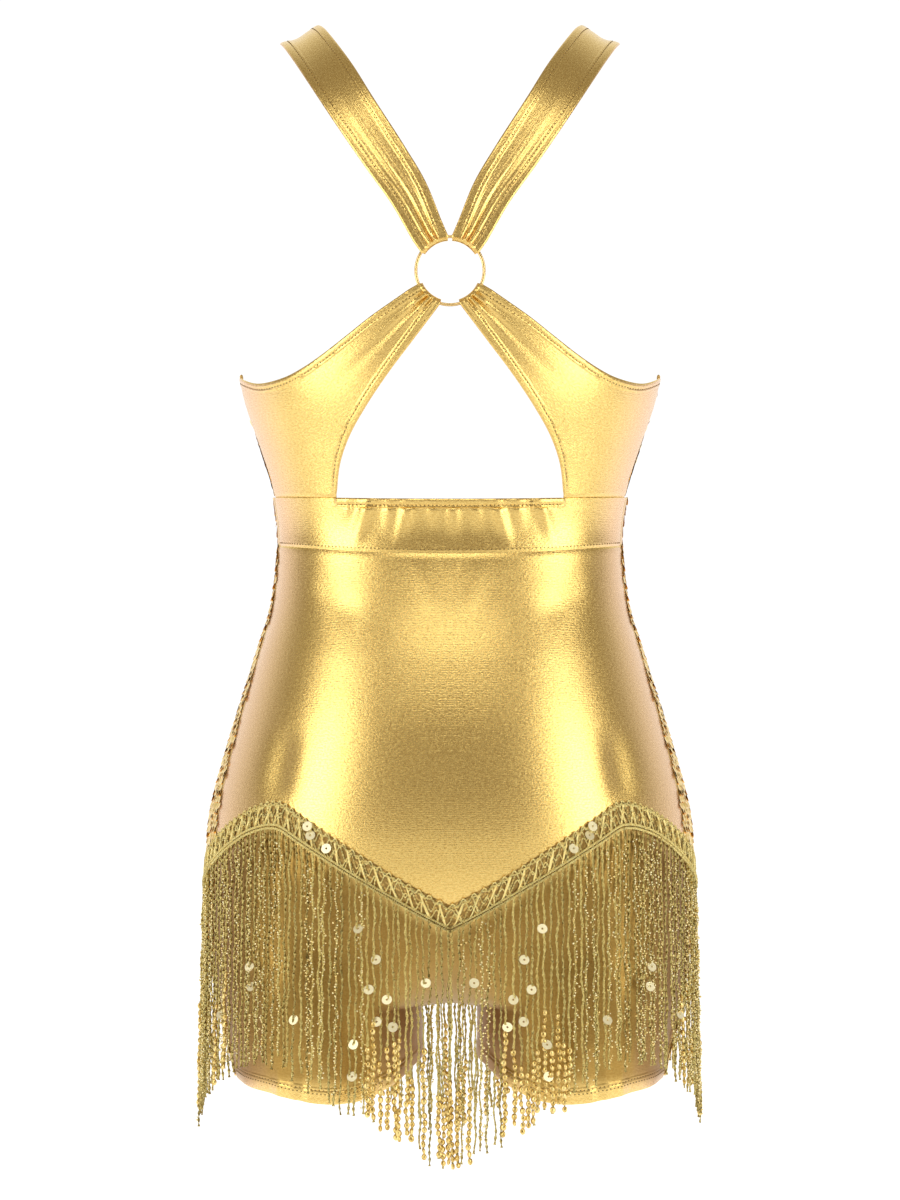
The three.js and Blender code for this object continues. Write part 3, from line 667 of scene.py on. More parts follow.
net_ground = Finish("net_ground", Roughness=0.6, Metallic=0.4)
ground = net_ground.where("UV")
weave = net_ground.cells(ground, 700.0)
net_tone = net_ground.blend(weave.between(0.1, 0.5), (0.58, 0.41, 0.16), (0.84, 0.63, 0.29))
# Where the net faces sideways at its outer edge it is painted pale rose: a painted reflection at the grazing
# side, like the foil's.
side_sheen_share = net_ground.painted("sideways").between(0.86, 0.98)
net_ground.finish(
    Base_Color=net_ground.blend(side_sheen_share, net_tone, (0.9, 0.66, 0.46)),
    Normal=net_ground.bump(weave, 0.0003),
)

foil_disc = Finish("sequin_foil", Metallic=0.95)
scatter = foil_disc.noise(foil_disc.where(), 190, 1)
foil_disc.finish(
    Base_Color=foil_disc.blend(scatter.between(0.35, 0.65), (0.86, 0.60, 0.20), (1.0, 0.77, 0.32)),
    Roughness=0.16 + 0.12 * scatter,
    Normal=foil_disc.bump(foil_disc.noise(foil_disc.where(), 900, 2), 0.0002, 0.5),
)


def face_outward():
    bpy.ops.mesh.select_all(action="SELECT")
    bpy.ops.mesh.normals_make_consistent(inside=False)


def dished_disc():
    """An eight-sided sequin of unit radius, dished towards its thread hole, with a thin closed back."""
    bpy.ops.mesh.primitive_cone_add(
        vertices=8, radius1=1, radius2=0, depth=DISH_DEPTH, end_fill_type="TRIFAN")
    sequin = bpy.context.object
    for vertex in sequin.data.vertices:
        if math.hypot(vertex.co.x, vertex.co.y) < 0.1:
            vertex.co.z = -DISH_DEPTH if vertex.co.z > 0 else -DISC_BACK
        else:
            vertex.co.z = 0
    edit_whole(face_outward)


SEQUIN = model_of(dished_disc, foil_disc, "sequin_cloth", True)
chance = np.random.default_rng(7)


def frame_at(points, j, i):
    """Axes along a row, down the cloth and out of it, at a corner of a net."""
    last_row, last = len(points) - 1, len(points[0]) - 1
    along = unit(points[j, min(i + 1, last)] - points[j, max(i - 1, 0)])
    down = points[min(j + 1, last_row), i] - points[max(j - 1, 0), i]
    down = unit(down - along * np.dot(down, along))
    return along, down, np.cross(down, along)


def turned_to(face, out):
    return face if np.dot(face, out) > 0 else -face


def sequin_rows(place, samples, rows, mirrored, side=1, bare=0):
    """Places of sequins on a cloth, in staggered rows, each tilted a little and by chance.
    bare is the plain margin at the ends of a row."""
    points, lifts = net_of(samples, rows, place)
    points = points * (side, 1, 1)
    lengths = arc_lengths(points, 1)
    middle = middle_of(points, None)
    made = []
    for j in range(len(rows)):
        start = bare + (j % 2) * SEQUIN_PITCH / 2
        for reach in np.arange(start, lengths[j, -1] - max(bare, 1.2), SEQUIN_PITCH):
            i = min(int(np.searchsorted(lengths[j], reach)), len(samples) - 1)
            along, down, out = frame_at(points, j, i)
            if np.dot(out, points[j, i] - middle) < 0:
                along, out = -along, -out
            lean = math.radians(SEQUIN_TILT + chance.normal(0, SEQUIN_SCATTER))
            turn = math.radians(chance.normal(0, SEQUIN_SCATTER))
            up = -down * math.cos(lean) - out * math.sin(lean)
            face = turned_to(np.cross(along, up), out)
            sideways_lean = along * math.cos(turn) + face * math.sin(turn)
            face = turned_to(np.cross(sideways_lean, up), out)
            axes = (np.cross(up, face), up, face)
            at = points[j, i] + out * (lifts[j, i] + SEQUIN_WALL / 2 + SEQUIN_STAND)
            made.append((at, axes, SEQUIN_RADIUS))
            if mirrored and abs(at[0]) > 0.6:
                other = np.array((-1, 1, 1))
                axes = [-axes[0] * other, axes[1] * other, axes[2] * other]
                made.append((at * other, axes, SEQUIN_RADIUS))
    return made


def even_rows(place, column, start, end, pitch):
    """Row values that lie a pitch apart down one column of a cloth."""
    fine = spaced(start, end, 400)
    points, _ = net_of([column], fine, place)
    lengths = arc_lengths(points, 0)[:, 0]
    reaches = np.arange(pitch / 2, lengths[-1] - 0.5, pitch)
    return [float(np.interp(reach, lengths, fine)) for reach in reaches]


front_place = body_place(1, FRONT_CREASES)
front_columns = spaced(0, 0.12, 8) + spaced(0.14, 1, 44)
front_body = lay_cloth("front_body", front_columns, BODY_ROWS, front_place, SEQUIN_WALL, mirrored=True)
finish_piece(front_body, net_ground, "sequin_cloth", "front_panel")
SAMPLES = spaced(0, 1, 320)
torso_rows = even_rows(front_place, 0.5, 0, 1, SEQUIN_ROW)
leg_rows = even_rows(front_place, 0.5, 1.0001, 2, SEQUIN_ROW)
sewn = sequin_rows(front_place, SAMPLES, torso_rows + leg_rows, True)
front_discs = copies("front_sequins", SEQUIN, sewn)


# Waistband: behind, a strip of the foil knit whose top edge is turned over thin elastic and gathers it, with
# short close rows of stitches at both ends of the elastic; in front, a plain strip of the sequin cloth.
# Both are seamed to the body below and to the wings and cups above.
GATHERS = Table(
    "x depth width lean reach",
    (-68, 1.2, 4.0, -0.10, 0.60), (-54, 2.6, 4.5, -0.30, 1.1), (-40, 1.7, 3.6, -0.08, 0.75),
    (-27, 2.8, 4.8, -0.24, 1.0), (-12, 1.9, 3.6, 0.05, 0.60), (2, 2.4, 4.6, 0.02, 1.0),
    (16, 1.8, 4.0, 0.14, 0.70), (30, 2.8, 4.6, 0.26, 1.1), (45, 1.8, 4.0, 0.10, 0.65),
    (60, 2.2, 4.4, 0.30, 1.0),
)
CASING_HALF = 76
CASING_HEIGHT = 5
CASING_RISE = 0.55
BARTACK = 54
WAISTBAND = WAIST_TOP - WAIST_BOTTOM


def waist_top(turn):
    return WAIST_TOP + 2.4 * math.sin(math.radians(turn)) ** 2


def gather_depth(x, down):
    depth = 0
    for at, deep, wide, lean, reach in GATHERS.rows():
        away = (x - at - lean * down * WAISTBAND) / wide
        start = smooth((down * WAISTBAND - CASING_HEIGHT + 1) / 4) if down * WAISTBAND > 1 else 0.35
        depth += deep * bell(away) * (1 - smooth(down / reach)) * max(start, 0.35)
    return depth


def waistband_place(facing):
    def place(turn, down):
        z = mix(waist_top(turn), waist_bottom(turn), down)
        point = torso_point(turn, z)
        lift = -seam_dip((1 - down) * WAISTBAND)
        if facing < 0:
            point[1] -= gather_depth(point[0], down)
            casing = smooth((CASING_HALF + 1 - abs(point[0])) / 2)
            from_top = down * WAISTBAND
            lift += casing * hem_step(from_top, CASING_HEIGHT) * (0.2 + CASING_RISE) / HEM_ROLL
            lift += casing * 0.25 * math.sin(point[0] * 2.1) * bell((from_top - CASING_HEIGHT) / 2.5)
        return point, lift
    return place


band_seam = seam_turn((WAIST_TOP + WAIST_BOTTOM) / 2) - SEAM_TURN_GAP
band_rows = spaced(0, 0.2, 14) + spaced(0.23, 0.9, 14) + spaced(0.92, 1, 4)
waistband_back = lay_cloth(
    "waistband_behind", spaced(-band_seam, band_seam, 260), band_rows, waistband_place(-1), KNIT_WALL)
finish_piece(waistband_back, foil_knit, "foil_knit", "waistband_back")
casing_turn = turn_at(CASING_HALF, WAIST_TOP)
casing_share = (CASING_HEIGHT - STITCH_INSIDE) / WAISTBAND
band_lines = [[(turn, casing_share) for turn in spaced(-casing_turn, casing_turn, 120)]]
band_lines.append([(turn, 1 - 2.4 / WAISTBAND) for turn in spaced(-band_seam + 1, band_seam - 1, 200)])
for turn in (-turn_at(BARTACK, WAIST_TOP), turn_at(BARTACK, WAIST_TOP)):
    for beside in (-0.5, 0, 0.5):
        band_lines.append([(turn + beside, down) for down in (0.01, 0.06, 0.12, 0.17)])
sewn = [made for line in band_lines for made in stitches(waistband_place(-1), line, KNIT_WALL)]
band_stitches = copies("waistband_stitches", STITCH, sewn)
front_span = (band_seam + 2 * SEAM_TURN_GAP, 360 - band_seam - 2 * SEAM_TURN_GAP)
waistband_front = lay_cloth(
    "waistband_before", spaced(*front_span, 150), spaced(0, 1, 18), waistband_place(1), SEQUIN_WALL)
finish_piece(waistband_front, net_ground, "sequin_cloth", "waistband_front")
band_sequin_rows = even_rows(waistband_place(1), 180, 0, 1, SEQUIN_ROW)
band_places = sequin_rows(waistband_place(1), spaced(*front_span, 900), band_sequin_rows, False, bare=18)
band_discs = copies("waistband_sequins", SEQUIN, band_places)


# Wings: behind, two pieces of foil knit run from the side seams up to the ring and leave the keyhole
# between them. Armhole and keyhole edges are turned under and sewn, and the end is gathered, folded
# round the ring and sewn down across the fold.
WING_TOP = (
    (144, -231.5), (139, -235.5), (128.5, -239), (111, -236), (98, -230), (84, -221), (68, -209),
    (52.5, -197), (38, -187), (27, -179.5))
KEYHOLE_EDGE = (
    (76, -316), (73.4, -293.5), (67, -275), (56, -255.6), (41.3, -234), (25, -212.6), (13.5, -197.5))
WING_CORNER = 3
CORNER_X = 76
WING_END = len(WING_TOP)
ARMHOLE_HEM = 5
KEYHOLE_HEM = 6.5
FRONT_MARGIN = 2
RING_RADIUS = 22.5
RING_LEVEL = -166.7
BACK_RING_DEPTH = -94.6
FRONT_RING_DEPTH = 100
FOLD_OVER_WIRE = 2.25
FOLD_TURN = 0.45
FOLD_STEP = 0.35
WING_ANGLES = (-24, -73)
SIGHT_DISTANCE = 3200
SIGHT_LEVEL = -384
CUP = {"x": 76, "z": -236, "rise": 20, "across": 44, "above": 34, "below": 42}
SIDES = ((1, "right"), (-1, "left"))


def curve_through(points):
    """A smooth curve through points, as a function of a share of the way along them."""
    points = [np.array(p, float) for p in points]
    last = len(points) - 1

    def at(share):
        place = min(max(share, 0), 1) * last
        i = min(int(place), last - 1)
        t = place - i
        p1, p2 = points[i], points[i + 1]
        p0 = points[i - 1] if i > 0 else 2 * p1 - p2
        p3 = points[i + 2] if i + 2 <= last else 2 * p2 - p1
        d0, d1, d2 = (math.dist(a, b) ** 0.5 for a, b in ((p0, p1), (p1, p2), (p2, p3)))
        start = ((p1 - p0) / d0 - (p2 - p0) / (d0 + d1) + (p2 - p1) / d1) * d1
        end = ((p2 - p1) / d1 - (p3 - p1) / (d1 + d2) + (p3 - p2) / d2) * d1
        rise = p2 - p1
        return p1 + start * t + (3 * rise - 2 * start - end) * t * t + (start + end - 2 * rise) * t ** 3
    return at


def spread(back_depth, front_depth):
    return (SIGHT_DISTANCE + front_depth) / (SIGHT_DISTANCE + back_depth)


def raised_to(z, scale):
    return SIGHT_LEVEL + (z - SIGHT_LEVEL) * scale


RING_SPREAD = spread(BACK_RING_DEPTH, FRONT_RING_DEPTH)
FRONT_RING_LEVEL = raised_to(RING_LEVEL, RING_SPREAD)
RINGS = {
    -1: {"radius": RING_RADIUS, "depth": BACK_RING_DEPTH, "level": RING_LEVEL},
    1: {"radius": RING_RADIUS * RING_SPREAD, "depth": FRONT_RING_DEPTH, "level": FRONT_RING_LEVEL},
}


def fold_point(facing, degrees, wrap):
    """Cloth round a ring's wire: wrap is 90 outside it, 180 on its inner side and 270 behind."""
    ring = RINGS[facing]
    a, w = math.radians(degrees), math.radians(wrap)
    reach = ring["radius"] + FOLD_OVER_WIRE * math.cos(w)
    out = FOLD_OVER_WIRE * math.sin(w)
    return np.array((reach * math.cos(a), ring["depth"] + facing * out, ring["level"] + reach * math.sin(a)))


def folded(facing, degrees, u, over):
    """The end of a strap or wing past the wire: u runs from 0 over it to -1 at the end of the fold,
    which lies on the inner face of the cloth. over gives the cloth's outer layer at a share of the fold."""
    if u > -FOLD_TURN:
        return fold_point(facing, degrees, 90 - 180 * u / FOLD_TURN)
    back = (-u - FOLD_TURN) / (1 - FOLD_TURN)
    return over(back) - np.array((0, facing * mix(2 * FOLD_OVER_WIRE, 1.7, back), 0))


wing_top_curve = curve_through(WING_TOP)
keyhole_curve = curve_through(KEYHOLE_EDGE)


@cache
def wing_edges(u):
    top = wing_top_curve(min(u / (WING_END - 1), 1))
    if u > WING_CORNER:
        return top, keyhole_curve(min((u - WING_CORNER) / (WING_END - 1 - WING_CORNER), 1))
    turn = mix(seam_turn(WAIST_TOP), turn_at(CORNER_X, WAIST_TOP), u / WING_CORNER)
    low = torso_point(turn, waist_top(turn))
    return top, low[[0, 2]]


@cache
def cup_edges(u):
    """The wing's edges moved to the front, so that the front stays hidden when the back is looked at."""
    top, low = wing_edges(u)
    if u > WING_CORNER:
        return edge_in_front(top, (0, -FRONT_MARGIN)), edge_in_front(low, (FRONT_MARGIN, 0))
    return edge_in_front(top, (0, -FRONT_MARGIN)), np.array((low[0] + FRONT_MARGIN * u / WING_CORNER, low[1]))


def edge_in_front(edge, inward):
    turn = turn_at(edge[0], edge[1])
    back, front = torso_point(turn, edge[1])[1], torso_point(180 - turn, edge[1])[1]
    scale = spread(back, front)
    share = min(1, (90 - abs(turn)) / 20)
    return np.array((edge[0] * scale + inward[0] * share, raised_to(edge[1], scale) + inward[1] * share))


def bodice_point(turn, z, facing):
    point = torso_point(turn if facing < 0 else 180 - turn, z)
    if facing > 0:
        across = (point[0] - CUP["x"]) / CUP["across"]
        up = (z - CUP["z"]) / (CUP["above"] if z > CUP["z"] else CUP["below"])
        point[1] += CUP["rise"] * bell(math.hypot(across, up))
    return point


def fan_depth(from_ring, across, folds):
    """Troughs (or ridges, below 0) that fan out from a gathered end."""
    depth = 0
    for share, drift, deep, wide, reach in folds.rows():
        away = (across - share - drift * from_ring) / (wide * (1 + 0.25 * from_ring))
        depth += deep * bell(away) * math.exp(-(from_ring / reach) ** 1.5)
    return depth


WING_FOLDS = Table(
    "share drift deep wide reach",
    (0.30, -0.010, 1.0, 0.05, 1.6), (0.42, -0.015, -0.9, 0.05, 2.4), (0.50, -0.020, 1.9, 0.05, 2.6),
    (0.60, 0.000, -0.8, 0.05, 1.8), (0.68, 0.020, 1.2, 0.045, 1.5), (0.80, 0.020, -0.6, 0.05, 1.4),
)


def wing_place(facing):
    def place(u, across):
        inside = max(u, 0)
        station = min(inside, WING_END - 0.001) if inside < WING_END else WING_END
        top, low = wing_edges(station) if facing < 0 else cup_edges(station)
        length = math.dist(top, low)
        z = mix(top[1], low[1], across)
        turn = mix(turn_at(top[0], top[1]), turn_at(low[0], low[1]), across)
        if station == 0:
            turn = (seam_turn(z) if facing < 0 else 180 - seam_turn(z)) - SEAM_TURN_GAP
        point = bodice_point(turn, z, facing)
        near_ring = max(0, (station - WING_CORNER) / (WING_END - WING_CORNER))
        past = station - WING_END + 1
        angle = mix(*WING_ANGLES, across)
        lift = -fan_depth(WING_END - station, across, WING_FOLDS) * smooth(near_ring * 2)
        lift += FOLD_STEP * smooth((station - WING_END + 1.25) / 0.1)
        if past > 0:
            point = mix(point, fold_point(facing, angle, 90), past)
        if u > WING_END:
            outer = lambda share: place(WING_END - 1.15 * share, across)[0]
            point, lift = folded(facing, angle, WING_END - u, outer), 0
        hems = hem_step(across * length, ARMHOLE_HEM)
        if station > WING_CORNER:
            hems += hem_step((1 - across) * length, KEYHOLE_HEM)
        else:
            hems -= seam_dip((1 - across) * length)
        if u <= WING_END:
            lift += hems
        return point, lift
    return place


WING_COLUMNS = spaced(0, 9, 84) + spaced(9.05, 10, 18) + spaced(10.05, 10.45, 8) + spaced(10.55, 11, 5)
ACROSS = spaced(0, 0.12, 10) + spaced(0.13, 0.86, 38) + spaced(0.87, 1, 11)


def wing_share(u, hem):
    """How much of the wing's height one hem takes, out to its stitches."""
    return (hem - STITCH_INSIDE) / math.dist(*wing_edges(u))


WING_LINES = (
    [(u, wing_share(u, ARMHOLE_HEM)) for u in spaced(0.05, WING_END - 0.3, 150)],
    [(u, 1 - wing_share(u, KEYHOLE_HEM)) for u in spaced(WING_CORNER + 0.1, WING_END - 0.3, 120)],
    [(WING_END - 1.22, across) for across in spaced(0.03, 0.97, 40)],
)
for side, label in SIDES:
    wing = lay_cloth(f"wing_{label}", WING_COLUMNS, ACROSS, wing_place(-1), KNIT_WALL, side=side)
    finish_piece(wing, foil_knit, "foil_knit", f"back_wing_{label}")
    sewn = [made for line in WING_LINES for made in stitches(wing_place(-1), line, KNIT_WALL, side)]
    wing_stitches = copies(f"wing_stitches_{label}", STITCH, sewn)


# Cups: in front, two pieces of sequin cloth shaped by a dart under the bust, on the same line as the wings
# and sewn round the front ring like them. Their hems have no sequins, nor has the strip under the arm.
CUP_MARGIN = 3.6
BARE_DEPTH = 14
BARE_ABOVE = -286

cup_place = wing_place(1)
for side, label in SIDES:
    cup = lay_cloth(f"cup_{label}", WING_COLUMNS, ACROSS, cup_place, SEQUIN_WALL, side=side)
    finish_piece(cup, net_ground, "sequin_cloth", f"front_cup_{label}")
    upright = lambda across, u: cup_place(u, across)
    across_rows = even_rows(upright, 0.5, 0, WING_END - 0.3, SEQUIN_ROW)[1:]
    sewn = sequin_rows(upright, spaced(0, 1, 240), across_rows, False, side, CUP_MARGIN)
    sewn = [made for made in sewn if made[0][1] > BARE_DEPTH or made[0][2] < BARE_ABOVE]
    cup_discs = copies(f"cup_sequins_{label}", SEQUIN, sewn)


# Straps: foil knit with both edges turned under and sewn. Each runs from the back ring over the shoulder to
# the front ring, and its ends are gathered, folded round the rings and sewn down.
# Rows of outer edge x and z, inner edge x and z, and the depths behind and in front.
STRAP = (
    (24, -147.3, 5.6, -134.8, -96, 99), (38.5, -122, 16.5, -108, -93.5, 95), (55.5, -98, 30.5, -84, -89, 88),
    (77, -66, 51.5, -50.5, -78, 74), (92, -42.5, 64.5, -28.5, -63, 58), (103.5, -24, 76.5, -10.5, -43, 39),
    (111.5, -11.5, 85, 1.5, -21, 19), (115, -6.5, 89, 6, 0, 0),
)
STRAP_TOP = len(STRAP) - 1
STRAP_WALL = 1.4
STRAP_HEM = 6
FRONT_STRAP_WIDTH = 0.86
CREST_DIP = 1.5
STRAP_ANGLES = (33, 86)
STRAP_FOLDS = Table(
    "share drift deep wide reach",
    (0.28, -0.010, 0.9, 0.05, 1.6), (0.40, -0.018, -1.0, 0.05, 3.6), (0.49, -0.020, 1.9, 0.055, 4.2),
    (0.58, -0.022, -0.9, 0.05, 3.0), (0.66, -0.018, 1.3, 0.045, 2.4), (0.76, 0.0, -0.6, 0.05, 1.4),
)


def strap_curves():
    out, inner = [], []
    for ox, oz, ix, iz, back, _ in STRAP:
        out.append((ox, back, oz))
        inner.append((ix, back, iz))
    for i in range(STRAP_TOP - 1, -1, -1):
        ox, oz, ix, iz, back, front = STRAP[i]
        scale = spread(back, front)
        narrow = mix(1, FRONT_STRAP_WIDTH, smooth((STRAP_TOP - i) / 3)) / 2
        for sign, edge in ((1, out), (-1, inner)):
            x = (ox + ix) / 2 + sign * (ox - ix) * narrow
            z = (oz + iz) / 2 + sign * (oz - iz) * narrow
            edge.append((x * scale, front, raised_to(z, scale)))
    return curve_through(out), curve_through(inner), len(out) - 1


strap_out, strap_in, strap_last = strap_curves()


@cache
def strap_edges(along):
    return strap_out(along), strap_in(along)


def strap_place(u, across):
    """u is 0 over the back ring's wire, 1 at the first row of the table, and so on to the front ring."""
    along = min(max(u - 1, 0), strap_last) / strap_last
    out, inner = strap_edges(along)
    length = math.dist(out, inner)
    point = mix(out, inner, across)
    facing = -1 if along < 0.5 else 1
    from_ring = min(u, strap_last + 2 - u)
    angle = mix(*STRAP_ANGLES, across)
    lift = -fan_depth(max(from_ring, 0), across, STRAP_FOLDS)
    lift += FOLD_STEP * smooth((1.12 - from_ring) / 0.08)
    lift -= CREST_DIP * bell((along - 0.5) / 0.16) * bell((across - 0.42) / 0.24)
    if 0 <= from_ring < 1:
        point = mix(fold_point(facing, angle, 90), point, from_ring)
    if from_ring < 0:
        beyond = lambda share: share * 1.04 if facing < 0 else strap_last + 2 - share * 1.04
        return folded(facing, angle, from_ring, lambda share: strap_place(beyond(share), across)[0]), 0
    return point, lift + hem_step(across * length, STRAP_HEM) + hem_step((1 - across) * length, STRAP_HEM)


FOLD_COLUMNS = spaced(-1, -0.55, 5) + spaced(-0.45, -0.05, 8)
STRAP_COLUMNS = (
    FOLD_COLUMNS + spaced(0, 1, 18) + spaced(1.06, strap_last + 0.94, 104)
    + [strap_last + 2 - u for u in spaced(1, 0, 18)] + [strap_last + 2 - u for u in FOLD_COLUMNS[::-1]])
STRAP_ACROSS = spaced(0, 0.3, 15) + spaced(0.32, 0.68, 14) + spaced(0.7, 1, 15)


def strap_share(u):
    """How much of the strap's width one hem takes, out to its stitches."""
    return (STRAP_HEM - STITCH_INSIDE) / math.dist(*strap_edges(min(max(u - 1, 0), strap_last) / strap_last))


STRAP_RUN = spaced(1.05, strap_last + 0.95, 420)
STRAP_LINES = (
    [(u, strap_share(u)) for u in STRAP_RUN],
    [(u, 1 - strap_share(u)) for u in STRAP_RUN],
    [(1.08, across) for across in spaced(0.03, 0.97, 30)],
    [(strap_last + 0.92, across) for across in spaced(0.03, 0.97, 30)],
)
for side, label in SIDES:
    centre = (60 * side, 0, -140)
    band = lay_cloth(
        f"shoulder_strap_{label}", STRAP_COLUMNS, STRAP_ACROSS, strap_place, STRAP_WALL,
        side=side, centre=centre)
    finish_piece(band, foil_knit, "foil_knit", f"strap_{label}")
    sewn = [made for line in STRAP_LINES for made in stitches(strap_place, line, STRAP_WALL, side, centre)]
    strap_stitches = copies(f"strap_stitches_{label}", STITCH, sewn)


# Rings: round gold wire, bent and butted, one behind and one in front. The straps, wings and cups are
# folded round them, and nothing else holds them.
WIRE = 1.1
RING_JOINT = 0.5
FACINGS = ((-1, "back"), (1, "front"))
JOINT_TURN = math.radians(2)

gold_wire = toned(
    "gold_wire", 420, 3, (0.80, 0.55, 0.22), (0.95, 0.72, 0.38), rough=(0.14, 0.16), relief=(0.00005, 0.4),
    Metallic=1.0)


def bend_wire():
    bpy.ops.mesh.spin(
        steps=96, angle=math.radians(360 - RING_JOINT), center=(0, 0, 0), axis=(0, 1, 0),
        use_auto_merge=False)


for facing, label in FACINGS:
    ring = RINGS[facing]
    deselect()
    bpy.ops.mesh.primitive_circle_add(
        vertices=14, radius=WIRE * MM, fill_type="NGON", location=(ring["radius"] * MM, 0, 0))
    bpy.ops.object.transform_apply(location=True, rotation=True, scale=True)
    hoop = name_it(f"{label}_ring_wire")
    edit_whole(bend_wire, face_outward)
    x, y, z = np.array([v.co for v in hoop.data.vertices]).T
    cos, sin = math.cos(JOINT_TURN), math.sin(JOINT_TURN)
    turned = np.stack([x * cos + z * sin, y, z * cos - x * sin], axis=1)
    hoop.data.vertices.foreach_set("co", (turned + np.array((0, ring["depth"], ring["level"])) * MM).ravel())
    bpy.ops.object.shade_smooth_by_angle(angle=SHARPEST_FOLD)
    finish_piece(hoop, gold_wire, "gold_wire", f"{label}_ring")


# Braid: a lace tape of gold thread sewn round the hips in a wave, with a point at the centre and a peak over
# each thigh. Waved and slanting threads cross it. Two cords run along its lower edge and one along its upper.
BRAID = Table(
    "turn z",
    (0, -594), (8, -580.5), (22.5, -555.5), (36, -534.8), (43, -526.5), (52, -530), (60, -538.2), (70, -550),
    (90, -573),
)
BRAID_HEIGHT = 18
BRAID_OUT = 1.7
OUTWARD_LEAN = 1.7
CORD_RADIUS = 1.1
BAR_RADIUS = 0.62
BAR_SPACING = 1.7
BAR_LEAN = 1.3
SHEEN = (1.0, 0.78, 0.26, 1)
SHARPEST_PLY = math.radians(60)

gold_thread = Finish("gold_thread", IOR=1.5, Sheen_Weight=0.6, Sheen_Tint=SHEEN)
thread_at = gold_thread.where()
fleck = gold_thread.noise(thread_at, 800, 2)
lengthwise = gold_thread.stretched(thread_at, (1.0, 1.0, 0.06))
strand_tone = gold_thread.noise(lengthwise, 330, 1).between(0.36, 0.62)
twist = gold_thread.waves(thread_at, "DIAGONAL", 250.0, 1.5)
gold_thread.finish(
    Base_Color=gold_thread.blend(
        fleck * 0.25 + strand_tone * 0.45 + twist * 0.3, (0.70, 0.49, 0.13), (1.0, 0.87, 0.34)),
    Metallic=0.1,
    Roughness=0.3 + 0.2 * fleck,
    Normal=gold_thread.bump(twist * 0.7 + fleck * 0.3, 0.0005, 0.7),
)
braid_thread = toned(
    "braid_thread", 700, 2, (0.98, 0.76, 0.28), (1.0, 0.90, 0.42), (0.35, 0.65), rough=(0.3, 0.15),
    relief=(0.0003, 0.6), Metallic=0.1, Sheen_Weight=0.6, Sheen_Tint=SHEEN)
lace_ground = Finish("lace_ground", Roughness=0.5, Metallic=0.7)
# The lace ground is painted mostly dark brown: painted shade of the cloth seen through the lace's holes.
lace_holes_painted_dark = lace_ground.cells(lace_ground.where("UV"), 420.0)
lace_ground.finish(
    Base_Color=lace_ground.blend(lace_holes_painted_dark.between(0.15, 0.55), (0.74, 0.52, 0.18), (0.36, 0.23, 0.07)),
    Normal=lace_ground.bump(lace_holes_painted_dark, 0.0008),
)


def braid_middle(turn):
    return BRAID.at("z", 180 - turn if turn > 90 else turn)


def braid_place(facing, seat):
    def place(turn, up):
        z = braid_middle(abs(turn)) + (up - 0.5) * BRAID_HEIGHT
        point = cloth_point(min(abs(turn) / side_limit(z, facing), 1), z, facing)
        point = point + unit(np.array((point[0], OUTWARD_LEAN * point[1], 0))) * seat
        return point * (1 if turn >= 0 else -1, 1, 1), 0
    return place


def two_ply():
    """Outline of a thread of two plies, of unit radius."""
    deselect()
    bpy.ops.curve.primitive_bezier_circle_add(radius=1)
    outline = bpy.context.object
    outline.data.splines.clear()
    spline = outline.data.splines.new("POLY")
    spline.points.add(7)
    for i, point in enumerate(spline.points):
        a = math.pi * (i + 0.5) / 4
        reach = 1 if abs(math.cos(a)) > 0.5 else 0.62
        point.co = (reach * math.cos(a) * MM, reach * math.sin(a) * MM, 0, 1)
    spline.use_cyclic_u = True
    return outline


PLY_OUTLINE = two_ply()


def threads(name, lines, radius, twist_length):
    """Twisted threads along lines of points, all in one mesh. Radius is one number or one for each line."""
    deselect()
    bpy.ops.curve.primitive_bezier_curve_add()
    bundle = name_it(name)
    bundle.data.splines.clear()
    bundle.data.dimensions = "3D"
    bundle.data.bevel_mode = "OBJECT"
    bundle.data.bevel_object = PLY_OUTLINE
    bundle.data.use_fill_caps = True
    for k, line in enumerate(lines):
        line = np.array(line)
        spline = bundle.data.splines.new("POLY")
        spline.points.add(len(line) - 1)
        spline.points.foreach_set("co", np.column_stack([line * MM, np.ones(len(line))]).ravel())
        spline.points.foreach_set("tilt", run_lengths(line) / twist_length * 2 * math.pi)
        size = radius[k] if isinstance(radius, (list, tuple)) else radius
        spline.points.foreach_set("radius", np.full(len(line), size))
    bpy.ops.object.convert(target="MESH")
    made = bpy.context.object
    bpy.ops.object.shade_smooth_by_angle(angle=SHARPEST_PLY)
    return made


def line_on(place, turns, up_of):
    return [place(turn, up_of(turn))[0] for turn in turns]


